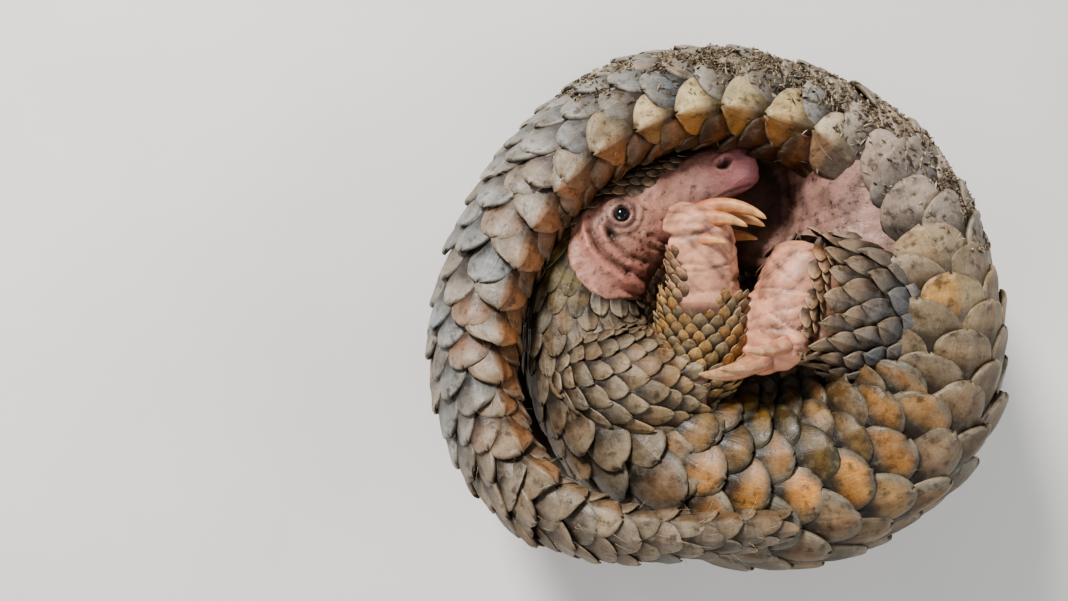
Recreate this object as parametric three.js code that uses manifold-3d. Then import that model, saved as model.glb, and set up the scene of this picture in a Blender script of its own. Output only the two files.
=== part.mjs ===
// A life-size Sunda pangolin curled up on its left side, in millimetres, +Z up.
// Seen from above the animal curls anticlockwise: nose, nape and back run round the ring, and the
// tail goes on round the outside until its tip lies over the flank.
import * as THREE from "three";
import { mergeVertices } from "three/addons/utils/BufferGeometryUtils.js";
import Module from "manifold-3d";

const wasm = await Module();
wasm.setup();

// Driving dimensions.
const GAP = 0.32; // clearance between touching pieces
const ROOT_GAP = 0.8; // clearance round the legs' roots
const SIDES = 16; // facets round the body and tail
const SQUARENESS = 2.35; // power of the cross-sections' curve, where 2 is an ellipse
const RING_STEP = 19; // spacing of the body's cross-sections
const CLAW_STEPS = 3; // lengths of a claw's bend
const HEAD_STEP = 11.5; // spacing of the head's
const TIDY = 0.2; // corners nearer than this to the shape without them are dropped
const SCALE_RISE = 4.4; // height of a scale's tip over the skin
const LIMB_RISE = 2.6; // the same on the legs
const ROOT_DEPTH = 10; // how far a leg's root goes into the body
const SCALE_SIDE = 0.45; // height of its side corners, as a share of that
const SCALE_KEEL = 0.62; // height of its middle
const SCALE_EDGE = 0.75; // height of the middle of its free edge on each side
const SCALE_ROUND = 1.22; // how far its free edge bows out, where 1 is straight

// One row for each cross-section from the nose to the tail tip: centre x, y, z, then the reach
// to the back, to the belly and to each side, then the roll of the back towards +Z in degrees.
const SECTIONS = {
  nose: [16.5, 72.5, 90, 10, 9.5, 10.5, 0],
  nostrils: [9, 70.5, 90, 12, 11.5, 12.5, 0],
  snout: [-6, 65, 88.5, 15.5, 15, 15, 0],
  bridge: [-24, 55, 87.5, 20.5, 19, 19, 0],
  brow: [-41, 42, 86.5, 25, 24, 23.5, 0],
  cheek: [-54, 29, 85, 26, 27.5, 27, 0],
  nape: [-62.5, 13, 83, 27.5, 29.5, 29, 0],
  neck: [-64, -6, 80, 29.5, 30, 35, 0],
  shoulder: [-54, -32, 76, 38, 37, 48, 0],
  chest: [-27.4, -64.5, 73.5, 41, 41, 60, 0],
  middle: [15.8, -82, 72.5, 41, 43, 70, 0],
  loin: [60.5, -71, 72.5, 42.5, 43, 72, 0],
  hip: [91, -39.5, 73, 42, 45, 72, 2],
  rump: [99, 0, 74, 39, 56, 70, 5],
  croup: [94, 40, 76, 33, 66, 63, 8],
  root: [78.5, 72, 78, 27, 50, 56, 11],
  tail_a: [48, 96.5, 79, 22, 25, 48, 14],
  tail_b: [2, 108, 81, 21.5, 20, 43, 16],
  tail_c: [-44, 99.5, 83, 20.5, 20, 39, 17],
  tail_d: [-85, 68.5, 86, 19, 19, 35, 18],
  tail_e: [-110.5, 25, 90, 17.5, 17.5, 31.5, 20],
  tail_f: [-120.5, -19, 96, 16, 16, 28, 23],
  tail_g: [-113, -57, 109, 14, 13.5, 24, 29],
  tail_h: [-92, -84, 129, 12, 9.5, 20, 36],
  tail_i: [-58, -98, 146, 9.5, 8, 16, 42],
  tail_j: [-20.7, -99.5, 152, 7.5, 6.5, 12, 40],
  tail_k: [10, -97, 151, 6, 5.2, 9, 36],
  tip: [25, -95, 149, 4, 3.8, 5.5, 34],
};
const NAMES = Object.keys(SECTIONS);

// Each node of head, body and tail runs from one named cross-section to the next in this list.
// files is how many scales lie round the whole girth, row the spacing of rows along the centreline.
const LENGTHS = [
  { node: "head", from: "nose", to: "nape" },
  { node: "neck", from: "nape", to: "shoulder", files: 18, row: 12 },
  { node: "torso_chest", from: "shoulder", to: "chest", files: 20, row: 13 },
  { node: "torso_waist", from: "chest", to: "middle", files: 20, row: 13 },
  { node: "torso_loin", from: "middle", to: "loin", files: 20, row: 13 },
  { node: "torso_hip", from: "loin", to: "hip", files: 20, row: 13 },
  { node: "torso_rump", from: "hip", to: "croup", files: 20, row: 14 },
  { node: "tail_1", from: "croup", to: "tail_a", files: 16, row: 13 },
  { node: "tail_2", from: "tail_a", to: "tail_c", files: 14, row: 13 },
  { node: "tail_3", from: "tail_c", to: "tail_e", files: 12, row: 13 },
  { node: "tail_4", from: "tail_e", to: "tail_g", files: 12, row: 12.5 },
  { node: "tail_5", from: "tail_g", to: "tail_i", files: 10, row: 12 },
  { node: "tail_6", from: "tail_i", to: "tip", files: 8, row: 11 },
];

// How far the scales reach down each side, as a share of the girth: a half is right round.
const COVER = {
  nose: 0, nostrils: 0.1, snout: 0.15, bridge: 0.17, brow: 0.2, cheek: 0.22, nape: 0.25, neck: 0.29,
  shoulder: 0.38, chest: 0.42, middle: 0.42, loin: 0.42, hip: 0.38, rump: 0.31, croup: 0.31, root: 0.4,
};

// The centreline, and every other value of a cross-section, as smooth curves through the table.
const knots = NAMES.map((name) => new THREE.Vector3(...SECTIONS[name].slice(0, 3)));
const along = [0];
for (let i = 1; i < knots.length; i++) along.push(along[i - 1] + knots[i].distanceTo(knots[i - 1]));
const TOTAL = along.at(-1);
const placeOf = (name) => along[NAMES.indexOf(name)];

// Cubic interpolation of one column of values that are given at the places in along.
function smooth(values, s) {
  const last = values.length - 1;
  let i = 0;
  while (i < last - 1 && s > along[i + 1]) i++;
  const h = along[i + 1] - along[i];
  const slope = (k) => {
    const a = Math.max(0, k - 1);
    const b = Math.min(last, k + 1);
    return (values[b] - values[a]) / (along[b] - along[a]);
  };
  const t = (s - along[i]) / h;
  const t2 = t * t;
  const t3 = t2 * t;
  return (2 * t3 - 3 * t2 + 1) * values[i] + (t3 - 2 * t2 + t) * h * slope(i)
    + (3 * t2 - 2 * t3) * values[i + 1] + (t3 - t2) * h * slope(i + 1);
}
const column = (k) => NAMES.map((name) => SECTIONS[name][k]);
const COLUMNS = [0, 1, 2, 3, 4, 5, 6].map(column);
const coverColumn = NAMES.map((name) => COVER[name] ?? 0.5);
const centre = (s) => new THREE.Vector3(...COLUMNS.slice(0, 3).map((c) => smooth(c, s)));

// The cross-section at s: its centre and the unit directions along, to the back and to the right side.
function section(s) {
  const c = centre(s);
  const t = centre(Math.min(TOTAL, s + 0.5)).sub(centre(Math.max(0, s - 0.5))).normalize();
  const outward = new THREE.Vector3().crossVectors(t, new THREE.Vector3(0, 0, 1)).normalize();
  const side = new THREE.Vector3().crossVectors(outward, t);
  const roll = THREE.MathUtils.degToRad(smooth(COLUMNS[6], s));
  const back = outward.clone().multiplyScalar(Math.cos(roll)).addScaledVector(side, Math.sin(roll));
  side.multiplyScalar(Math.cos(roll)).addScaledVector(outward, -Math.sin(roll));
  return { c, t, back, side };
}

const square = (x) => Math.sign(x) * Math.abs(x) ** (2 / SQUARENESS);

// A point of the skin: angle 0 is the middle of the back and a quarter turn is the right side.
function skinPoint(s, angle, grow = 0) {
  const { c, back, side } = section(s);
  const reach = smooth(COLUMNS[Math.cos(angle) > 0 ? 3 : 4], s) + grow;
  return c.addScaledVector(back, reach * square(Math.cos(angle)))
    .addScaledVector(side, (smooth(COLUMNS[5], s) + grow) * square(Math.sin(angle)));
}

// The angle at a share of the girth from the middle of the back, negative on the left side.
const ANGLE_STEPS = 36;
const girths = new Map();
function girthTable(s) {
  const key = Math.round(s * 2);
  if (!girths.has(key)) {
    const lengths = [0];
    const reaches = [smooth(COLUMNS[3], s), smooth(COLUMNS[4], s)];
    const wide = smooth(COLUMNS[5], s);
    for (let i = 1; i <= ANGLE_STEPS; i++) {
      const [a, b] = [(Math.PI * (i - 1)) / ANGLE_STEPS, (Math.PI * i) / ANGLE_STEPS];
      const reach = i <= ANGLE_STEPS / 2 ? reaches[0] : reaches[1];
      const rise = reach * (square(Math.cos(a)) - square(Math.cos(b)));
      const run = wide * (square(Math.sin(a)) - square(Math.sin(b)));
      lengths.push(lengths[i - 1] + Math.hypot(rise, run));
    }
    girths.set(key, lengths);
  }
  return girths.get(key);
}
function angleAt(s, share) {
  const lengths = girthTable(s);
  const turns = Math.round(share); // shares past the belly go on round the other side
  const rest = share - turns;
  const wanted = Math.abs(rest) * 2 * lengths[ANGLE_STEPS];
  let i = 0;
  while (i < ANGLE_STEPS - 1 && wanted > lengths[i + 1]) i++;
  const t = (wanted - lengths[i]) / (lengths[i + 1] - lengths[i]);
  return (Math.sign(rest) * Math.PI * (i + t)) / ANGLE_STEPS + 2 * Math.PI * turns;
}

// A closed solid from a list of corners and a list of triangles.
function solidOf(corners, triangles) {
  const geometry = new THREE.BufferGeometry()
    .setAttribute("position", new THREE.Float32BufferAttribute(corners.flatMap((p) => [p.x, p.y, p.z]), 3))
    .setIndex(triangles.flat());
  return solidFrom(geometry);
}

// A closed three.js geometry as a solid.
function solidFrom(geometry) {
  geometry.deleteAttribute("normal");
  geometry.deleteAttribute("uv");
  const merged = mergeVertices(geometry, 1e-4);
  const solid = new wasm.Manifold(new wasm.Mesh({
    numProp: 3,
    vertProperties: new Float32Array(merged.attributes.position.array),
    triVerts: new Uint32Array(merged.index.array),
  }));
  return solid;
}

// Rings of corners joined into a tube, with a fan over each end.
function loft(rings) {
  const n = rings[0].length;
  const corners = rings.flat();
  const triangles = [];
  for (let r = 0; r + 1 < rings.length; r++) {
    for (let i = 0; i < n; i++) {
      const j = (i + 1) % n;
      const [a, b, c, d] = [r * n + i, r * n + j, (r + 1) * n + i, (r + 1) * n + j];
      triangles.push([a, b, d], [a, d, c]);
    }
  }
  for (const [r, flip] of [[0, true], [rings.length - 1, false]]) {
    const middle = rings[r].reduce((sum, p) => sum.add(p), new THREE.Vector3()).divideScalar(n);
    corners.push(middle);
    for (let i = 0; i < n; i++) {
      const [a, b] = [r * n + i, r * n + ((i + 1) % n)];
      triangles.push(flip ? [corners.length - 1, b, a] : [corners.length - 1, a, b]);
    }
  }
  const solid = solidOf(corners, triangles);
  return solid.volume() < 0 ? solidOf(corners, triangles.map(([a, b, c]) => [a, c, b])) : solid;
}

// The bare body between two places, its skin moved out by grow.
function trunk(from, to, step = RING_STEP, grow = 0, sides = SIDES) {
  const count = Math.max(2, Math.round((to - from) / step));
  const rings = [];
  for (let k = 0; k <= count; k++) {
    const s = from + ((to - from) * k) / count;
    rings.push(Array.from({ length: sides }, (_, i) => skinPoint(s, (2 * Math.PI * i) / sides, grow)));
  }
  return loft(rings);
}

// A closed tube whose skin is laid with overlapping scales, in files down its length.
// point(r, j, h) gives the place in row r and file j at height h. A scale lies round each place where
// r + j is odd: its front corner and its tip are a row away, and its side corners a file away.
// raised(r, j) is the full height of the scales there, which is nought on bare skin. Where even(r) is
// true the whole skin is that high and there are no scales. Scales that aren't rounded are diamonds.
function scaledTube({ rows, files, point, raised, even, rounded }) {
  const corners = [];
  const known = new Map();
  const corner = (r, j, share) => {
    const turn = (j + files) % files;
    const height = raised(r, turn);
    const level = even(r) ? 1 : share;
    const key = `${r} ${turn} ${height > 0 ? level : 0}`;
    if (!known.has(key)) {
      known.set(key, corners.length);
      corners.push(point(r, turn, height * level));
    }
    return known.get(key);
  };
  const triangles = [];
  const face = (a, b, c) => {
    if (a !== b && b !== c && c !== a) triangles.push([a, b, c]);
  };
  const fan = (first, loop) => {
    for (let i = 0; i + 1 < loop.length; i++) face(first, loop[i], loop[i + 1]);
  };
  for (let r = 1; r < rows; r++) {
    for (let j = (r + 1) % 2; j < files; j += 2) {
      const front = corner(r - 1, j, 0);
      const [left, right] = [corner(r, j - 1, SCALE_SIDE), corner(r, j + 1, SCALE_SIDE)];
      const [tip, underTip] = [corner(r + 1, j, 1), corner(r + 1, j, SCALE_SIDE)];
      const free = rounded && raised(r, j) > 0 && !even(r);
      const edge = (side) => corner(r + SCALE_ROUND / 2, j + (side * SCALE_ROUND) / 2, SCALE_EDGE);
      const [leftEdge, rightEdge] = free ? [edge(-1), edge(1)] : [left, right];
      fan(corner(r, j, SCALE_KEEL), [front, left, leftEdge, tip, rightEdge, right, front]);
      fan(leftEdge, [left, corner(r, j - 1, 0), underTip, tip]);
      fan(rightEdge, [tip, underTip, corner(r, j + 1, 0), right]);
    }
  }
  for (const [r, next] of [[0, 1], [rows, rows - 1]]) {
    const loop = [];
    for (let j = r % 2; j < files + 2; j += 2) {
      loop.push(corner(r, j % files, 0), corner(next, (j + 1) % files, 0));
    }
    const sum = loop.reduce((total, i) => total.add(corners[i]), new THREE.Vector3());
    const middle = sum.divideScalar(loop.length);
    corners.push(middle);
    fan(corners.length - 1, (next > r ? loop : loop.reverse()).slice(0, files + 1));
  }
  const solid = solidOf(corners, triangles);
  return solid.volume() < 0 ? solidOf(corners, triangles.map(([i, j, k]) => [i, k, j])) : solid;
}

// One length of the body with its scales, a little longer at each end than its node.
const SPARE_ROWS = 4;
function bodyTube({ from, to, files, row }) {
  const [start, end] = [placeOf(from), placeOf(to)];
  const rows = 2 * Math.round((end - start) / row / 2);
  const spacing = (end - start) / rows;
  const total = SPARE_ROWS + rows + (to === NAMES.at(-1) ? 0 : SPARE_ROWS);
  const place = (r) => THREE.MathUtils.clamp(start + (r - SPARE_ROWS) * spacing, 0, TOTAL);
  const raised = (r, j) => {
    const bare = Math.min(j, files - j) > smooth(coverColumn, place(r)) * files;
    return bare || r < 1.6 || r > total - 1.6 ? 0 : SCALE_RISE;
  };
  const point = (r, j, h) => {
    const share = j > files / 2 ? j / files - 1 : j / files;
    return skinPoint(place(r), angleAt(place(r), share), h);
  };
  return scaledTube({ rows: total, files, point, raised, even: () => false, rounded: true });
}

// Joins solids into one, without needless corners.
const join = (solids) => wasm.Manifold.union(solids).asOriginal().simplify(TIDY);

// Keeps only the largest closed surface.
function largest(solid) {
  return solid.decompose().reduce((best, piece) => (piece.volume() > best.volume() ? piece : best));
}

// The side of the cross-section plane at s that lies towards the tail, or towards the nose.
function planeAt(s, towardsTail, offset) {
  const { c, t } = section(s);
  const normal = towardsTail ? t : t.clone().negate();
  return { normal: normal.toArray(), offset: normal.dot(c) + offset };
}

function trimTo(solid, { normal, offset }) {
  return solid.trimByPlane(normal, offset);
}
const onFloor = (solid) => solid.trimByPlane([0, 0, 1], 0);

// Legs: each is one or two tapering lengths of elliptical section through a few points.
// Each point is x, y, z, then the reach in the plane of the curl and the reach up and down.
const LIMBS = {
  foreleg: [
    {
      path: [
        [-60, -31, 98, 25, 25], [-49, -35, 110, 27, 25], [-34, -36, 117, 27, 23], [-20, -33, 118, 22, 18],
      ],
      files: 12, row: 9.5, firstRow: 2.6,
    },
    {
      path: [
        [-17, -31, 117, 20, 17], [-12, -20, 119, 22, 17.5], [-10, -6, 120, 21.5, 17],
        [-9.5, 8, 121, 20, 16.5],
      ],
      files: 12, row: 9.5, firstRow: 1.6,
    },
  ],
  hindleg: [
    {
      path: [
        [104, -20, 94, 42, 34], [87, -10, 109, 41, 31], [69, -1, 118, 37, 28], [53, 4, 124, 32.5, 25],
        [42, 6, 127, 28.5, 22.5],
      ],
      files: 16, row: 11, firstRow: 2.6,
    },
  ],
};
const MIDDLE = 73; // height of the plane between the right side and the left side

const limbCurves = (limb) => {
  limb.line ??= new THREE.CatmullRomCurve3(limb.path.map((p) => new THREE.Vector3(p[0], p[1], p[2])));
  limb.sizes ??= new THREE.CatmullRomCurve3(limb.path.map((p) => new THREE.Vector3(p[3], p[4], 0)));
  return limb;
};
const limbLength = (limb) => limbCurves(limb).line.getLength();

// A point on a limb: a is the share of its length and angle a turn round it. mirror is -1 on the left.
function limbPoint(limb, mirror, a, angle, grow = 0) {
  const { line, sizes } = limbCurves(limb);
  const t = THREE.MathUtils.clamp(a, 0, 1);
  const way = line.getTangent(t);
  const c = line.getPoint(t).addScaledVector(way, (a - t) * line.getLength());
  const size = sizes.getPoint(t);
  const flat = new THREE.Vector3().crossVectors(new THREE.Vector3(0, 0, 1), way).normalize();
  const up = new THREE.Vector3().crossVectors(way, flat);
  const p = c.addScaledVector(flat, (size.x + grow) * Math.cos(angle))
    .addScaledVector(up, (size.y + grow) * Math.sin(angle));
  if (mirror < 0) p.z = 2 * MIDDLE - p.z;
  return p;
}

// A limb with its scales, or with grow the room that it takes. Its root is even all round, where the
// body lies against it.
function limbTube(limb, mirror, grow = 0) {
  const rows = Math.round(limbLength(limb) / limb.row);
  const total = rows + 2;
  const beyond = grow / limbLength(limb);
  const share = (r) => r / rows + (r < 2 ? -2 * beyond : 0) + (r > total - 2 ? 3 * beyond : 0);
  const raised = (r) => (grow === 0 && r > total - 1.6 ? 0 : LIMB_RISE + grow);
  const even = (r) => grow > 0 || r < limb.firstRow;
  const point = (r, j, h) => limbPoint(limb, mirror, share(r), (2 * Math.PI * j) / limb.files, h);
  const shape = { rows: total, files: limb.files, point, raised, even, rounded: false };
  return scaledTube(shape);
}

// Tapering rounded tube through points of x, y, z, first reach and second reach, its first reach
// lying along the direction across. Each end is closed flat.
function taper(points, across, sides) {
  const centres = points.map((p) => new THREE.Vector3(p[0], p[1], p[2]));
  const rings = points.map((p, k) => {
    const next = centres[Math.min(k + 1, points.length - 1)];
    const t = next.clone().sub(centres[Math.max(k - 1, 0)]).normalize();
    const second = new THREE.Vector3().crossVectors(t, across).normalize();
    const first = new THREE.Vector3().crossVectors(second, t);
    return Array.from({ length: sides }, (_, i) => {
      const angle = (2 * Math.PI * i) / sides;
      return centres[k].clone().addScaledVector(first, p[3] * Math.cos(angle))
        .addScaledVector(second, p[4] * Math.sin(angle));
    });
  });
  return loft(rings);
}

// Feet. origin is the middle of the wrist or ankle, toes the direction of the toes, palm the way
// that the palm faces. Each toe is its place across the foot and along it, then the claw's length,
// its thickness and its bend in degrees.
const FEET = {
  forefoot: {
    origin: [-9.6, 8.9, 121.9], toes: [-0.06, 1, 0.05], palm: [0.86, 0.06, 0.5],
    body: [[0, 19.5, 15.5], [18, 20, 15.2], [30, 19, 13.5], [37, 16, 10.5], [41, 11, 7]],
    toeTurn: 92,
    digits: [
      { at: [15, 25], back: 5, stub: 5.5, claw: [22, 3.9, 36] },
      { at: [8, 32], back: 8, stub: 6.5, claw: [31, 4.8, 58] },
      { at: [-1, 36], back: 10, stub: 7, claw: [37, 5.4, 66] },
      { at: [-9.5, 32], back: 8, stub: 6, claw: [29, 4.6, 58] },
      { at: [-15.5, 24], back: 4, stub: 5, claw: [17, 3.4, 34] },
    ],
  },
  hindfoot: {
    origin: [38, 28, 126], toes: [-0.36, -0.93, 0.02], palm: [-0.78, 0.3, 0.5],
    body: [[-3, 11, 8], [2, 16.5, 13], [16, 18.2, 15.5], [36, 18.5, 14.5], [52, 17, 11], [57, 12, 7]],
    toeTurn: 62,
    digits: [
      { at: [15, 41], back: 1, stub: 6, claw: [19, 3.9, 26] },
      { at: [8, 50], back: 1, stub: 7, claw: [25, 4.6, 30] },
      { at: [0, 54], back: 1, stub: 7.5, claw: [33, 5.0, 32] },
      { at: [-8, 50], back: 1, stub: 7, claw: [30, 4.9, 30] },
      { at: [-15, 41], back: 1, stub: 6, claw: [25, 4.4, 28] },
    ],
  },
};

// The foot's own directions in the part's frame.
function footFrame(foot) {
  const toes = new THREE.Vector3(...foot.toes).normalize();
  const across = new THREE.Vector3().crossVectors(toes, new THREE.Vector3(...foot.palm)).normalize();
  const palm = new THREE.Vector3().crossVectors(across, toes);
  return { origin: new THREE.Vector3(...foot.origin), toes, palm, across };
}

// A toe's base, the way its claw starts, and the way it bends.
function toeFrame(foot, digit) {
  const f = footFrame(foot);
  const turn = THREE.MathUtils.degToRad(foot.toeTurn);
  const base = f.origin.clone().addScaledVector(f.across, digit.at[0]).addScaledVector(f.toes, digit.at[1])
    .addScaledVector(f.palm, -digit.back);
  const ahead = f.toes.clone().multiplyScalar(Math.cos(turn)).addScaledVector(f.palm, Math.sin(turn));
  const under = f.palm.clone().multiplyScalar(Math.cos(turn)).addScaledVector(f.toes, -Math.sin(turn));
  return { base, ahead, under, across: f.across };
}

// The claw starts a little above its toe's line, so that it arches over before it comes down.
function clawPath(foot, digit) {
  const { base, ahead, under, across } = toeFrame(foot, digit);
  const [length, thick, bend] = digit.claw;
  const start = THREE.MathUtils.degToRad(bend) * -0.45;
  const steps = CLAW_STEPS;
  const points = [];
  const at = base.clone().addScaledVector(ahead, digit.stub + GAP);
  for (let k = 0; k <= steps; k++) {
    const t = k / steps;
    const wide = thick * (1 - 0.86 * t ** 1.6);
    points.push([...at.toArray(), wide * 0.82, wide]);
    const turn = start + THREE.MathUtils.degToRad(bend) * (t + 0.5 / steps);
    at.addScaledVector(ahead, (Math.cos(turn) * length) / steps)
      .addScaledVector(under, (Math.sin(turn) * length) / steps);
  }
  return { points, across };
}

// A digit's claw, or with grow the room that it takes.
function clawSolid(foot, digit, grow = 0) {
  const { points, across } = clawPath(foot, digit);
  return taper(points.map(([x, y, z, a, b]) => [x, y, z, a + grow, b + grow]), across, 6);
}

// The foot and its toes up to the claws' roots, or with grow the room that they take.
function footSolid(foot, grow = 0) {
  const { origin, toes, across } = footFrame(foot);
  const body = foot.body.map(([x, wide, thick]) => [
    ...origin.clone().addScaledVector(toes, x).toArray(), wide + grow, thick + grow,
  ]);
  const stubs = foot.digits.map((digit) => {
    const { base, ahead } = toeFrame(foot, digit);
    const [first, second] = clawPath(foot, digit).points.map((p) => new THREE.Vector3(...p.slice(0, 3)));
    const way = second.sub(first).normalize();
    const thick = digit.claw[1];
    const rings = [
      [base.clone().addScaledVector(ahead, -4), 1, 1],
      [base, 1.3, 1.3],
      [first.clone().addScaledVector(way, -GAP), 1, 1.15],
    ];
    return taper(rings.map(([p, a, b]) => [...p.toArray(), thick * a + grow, thick * b + grow]), across, 6);
  });
  return join([taper(body, across, 10), ...stubs]);
}

// The room of a solid, a gap wider than it along each axis.
const nudged = (solid) => wasm.Manifold.union([[1, 0, 0], [0, 1, 0], [0, 0, 1]].flatMap((way) => (
  [GAP, -GAP].map((step) => solid.translate(way.map((x) => x * step)))
)));

// Mirrors a solid to the left side.
const toLeft = (solid) => solid.mirror([0, 0, 1]).translate([0, 0, 2 * MIDDLE]);

// Every node and its solid.
const solids = {};

// The body's core, which the legs' roots reach down to, or with grow the room that it takes.
const BODY = LENGTHS.slice(1, 8);
const core = (grow) => wasm.Manifold.union(BODY.map(({ from, to }) => (
  trunk(placeOf(from) - 1, placeOf(to) + 1, RING_STEP, grow)
)));
const limbRoom = wasm.Manifold.union([1, -1].flatMap((mirror) => (
  Object.values(LIMBS).flat().map((limb) => limbTube(limb, mirror, ROOT_GAP))
))).subtract(core(-ROOT_DEPTH - ROOT_GAP));

// The end of the tail with its scales, which whatever it lies against is cut clear of.
const tailRoom = trunk(placeOf("tail_a"), TOTAL, 9, SCALE_RISE + 2 * GAP);

for (const length of LENGTHS.slice(1)) {
  const [start, end] = [placeOf(length.from), placeOf(length.to)];
  let solid = bodyTube(length).subtract(limbRoom);
  if (end < placeOf("croup")) solid = solid.subtract(tailRoom);
  solid = trimTo(solid, planeAt(start, true, GAP / 2));
  if (length.to !== NAMES.at(-1)) solid = trimTo(solid, planeAt(end, false, GAP / 2));
  solids[length.node] = largest(join([onFloor(solid)]));
}

// The head: eyes in lidded sockets, nostrils, the line of the mouth, and cupped ears.
const EYE = { s: 66, share: 0.2, radius: 4.2, sunk: 2.2, lid: 1.5, lidLift: 0.2 };
// The ear is a ridge of skin round the cheek: places along the head and shares of the girth.
const EAR = {
  line: [[77, 0.12], [82, 0.155], [87, 0.21], [89.5, 0.28], [90, 0.34], [88.5, 0.4]],
  ridge: 2.9, endShare: 0.6, lift: 0.4,
};
// A nostril is a slit that starts over the skin ahead of its place and runs back into the nose.
const NOSTRIL = { s: 10.5, share: 0.21, radius: 1.7, ahead: 2, over: 1.5, behind: 5.6, under: 2.5 };
const MOUTH = { from: 5, to: 30, share: 0.39, open: 0.9, deep: 3 };

// A place on the head: its point, and the unit directions out, back along the skin and across.
function headFrame(s, share, side) {
  const angle = angleAt(s, share) * side;
  const point = skinPoint(s, angle);
  const along1 = skinPoint(s + 0.5, angle).sub(skinPoint(s - 0.5, angle));
  const around = skinPoint(s, angle + 0.02).sub(skinPoint(s, angle - 0.02));
  const normal = along1.cross(around).normalize();
  const { t } = section(s);
  const back = t.clone().addScaledVector(normal, -t.dot(normal)).normalize();
  return { point, normal, back, across: new THREE.Vector3().crossVectors(normal, back) };
}

function ball(middle, radius) {
  const geometry = new THREE.SphereGeometry(radius, 8, 6);
  return solidFrom(geometry).translate(middle.toArray());
}

// A bent bar of round section through points, closed at both ends.
function bar(points, radius, sides, normal, endShare = 0.5) {
  return taper(points.map((p, i) => {
    const end = i === 0 || i === points.length - 1;
    return [...p.toArray(), radius * (end ? endShare : 1), radius * (end ? endShare : 1)];
  }), normal, sides);
}

function lids({ point, normal, back, across }) {
  const ring = new THREE.TorusGeometry(EYE.radius + EYE.lidLift, EYE.lid, 5, 12);
  const basis = new THREE.Matrix4().makeBasis(back, across, normal);
  const middle = point.clone().addScaledVector(normal, EYE.lidLift);
  ring.applyMatrix4(basis).translate(...middle.toArray());
  return solidFrom(ring);
}

function earSolid(side) {
  const frames = EAR.line.map(([s, share]) => headFrame(s, share, side));
  const rim = frames.map(({ point, normal }, i) => {
    const full = Math.sin((Math.PI * (i + 0.5)) / frames.length);
    const reach = EAR.ridge * (EAR.endShare + (1 - EAR.endShare) * full);
    return [...point.clone().addScaledVector(normal, EAR.lift).toArray(), reach, reach];
  });
  return taper(rim, frames[2].normal, 6);
}

const bodyRoom = core(SCALE_RISE + 2 * GAP);

const headEnd = placeOf("nape");
let head = trunk(0, headEnd, HEAD_STEP);
const headRoom = trunk(0, headEnd, HEAD_STEP, 2 * GAP);
for (const [side, word] of [[1, "right"], [-1, "left"]]) {
  const eye = headFrame(EYE.s, EYE.share, side);
  const middle = eye.point.clone().addScaledVector(eye.normal, -EYE.sunk);
  head = head.add(lids(eye)).subtract(ball(middle, EYE.radius + 2 * GAP));
  solids["eye_" + word] = ball(middle, EYE.radius);
  const nostril = headFrame(NOSTRIL.s, NOSTRIL.share, side);
  const at = (back, out) => (
    nostril.point.clone().addScaledVector(nostril.back, back).addScaledVector(nostril.normal, out)
  );
  const inner = at(NOSTRIL.behind, -NOSTRIL.under);
  const outer = at(-NOSTRIL.ahead, NOSTRIL.over);
  const slit = [outer, outer.clone().lerp(inner, 0.5), inner];
  head = head.subtract(bar(slit, NOSTRIL.radius, 8, nostril.across, 0.8));
  solids["ear_" + word] = earSolid(side);
}

// The mouth is a thin slot along each side that meets under the nose.
function mouthSlot() {
  const rings = [];
  for (let k = 0; k <= 5; k++) {
    const s = MOUTH.from + ((MOUTH.to - MOUTH.from) * k) / 5;
    const { c, back, side } = section(s);
    const low = skinPoint(s, angleAt(s, MOUTH.share));
    const drop = low.clone().sub(c).dot(back);
    const reach = smooth(COLUMNS[5], s) * 1.3;
    const line = c.clone().addScaledVector(back, drop);
    const half = MOUTH.open * 0.5;
    rings.push([
      line.clone().addScaledVector(side, reach).addScaledVector(back, half),
      line.clone().addScaledVector(side, -reach).addScaledVector(back, half),
      line.clone().addScaledVector(side, -reach).addScaledVector(back, -half),
      line.clone().addScaledVector(side, reach).addScaledVector(back, -half),
    ]);
  }
  const sheet = loft(rings);
  const core = trunk(MOUTH.from - 2, MOUTH.to + 4, 4, -MOUTH.deep, 16);
  return sheet.subtract(core);
}
head = head.subtract(mouthSlot());
for (const word of ["right", "left"]) {
  const outside = solids["ear_" + word].subtract(headRoom).subtract(tailRoom);
  const ear = trimTo(outside, planeAt(headEnd, false, GAP / 2));
  solids["ear_" + word] = largest(ear);
}
solids.head = largest(join([trimTo(head.subtract(tailRoom), planeAt(headEnd, false, GAP / 2))]));

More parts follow.
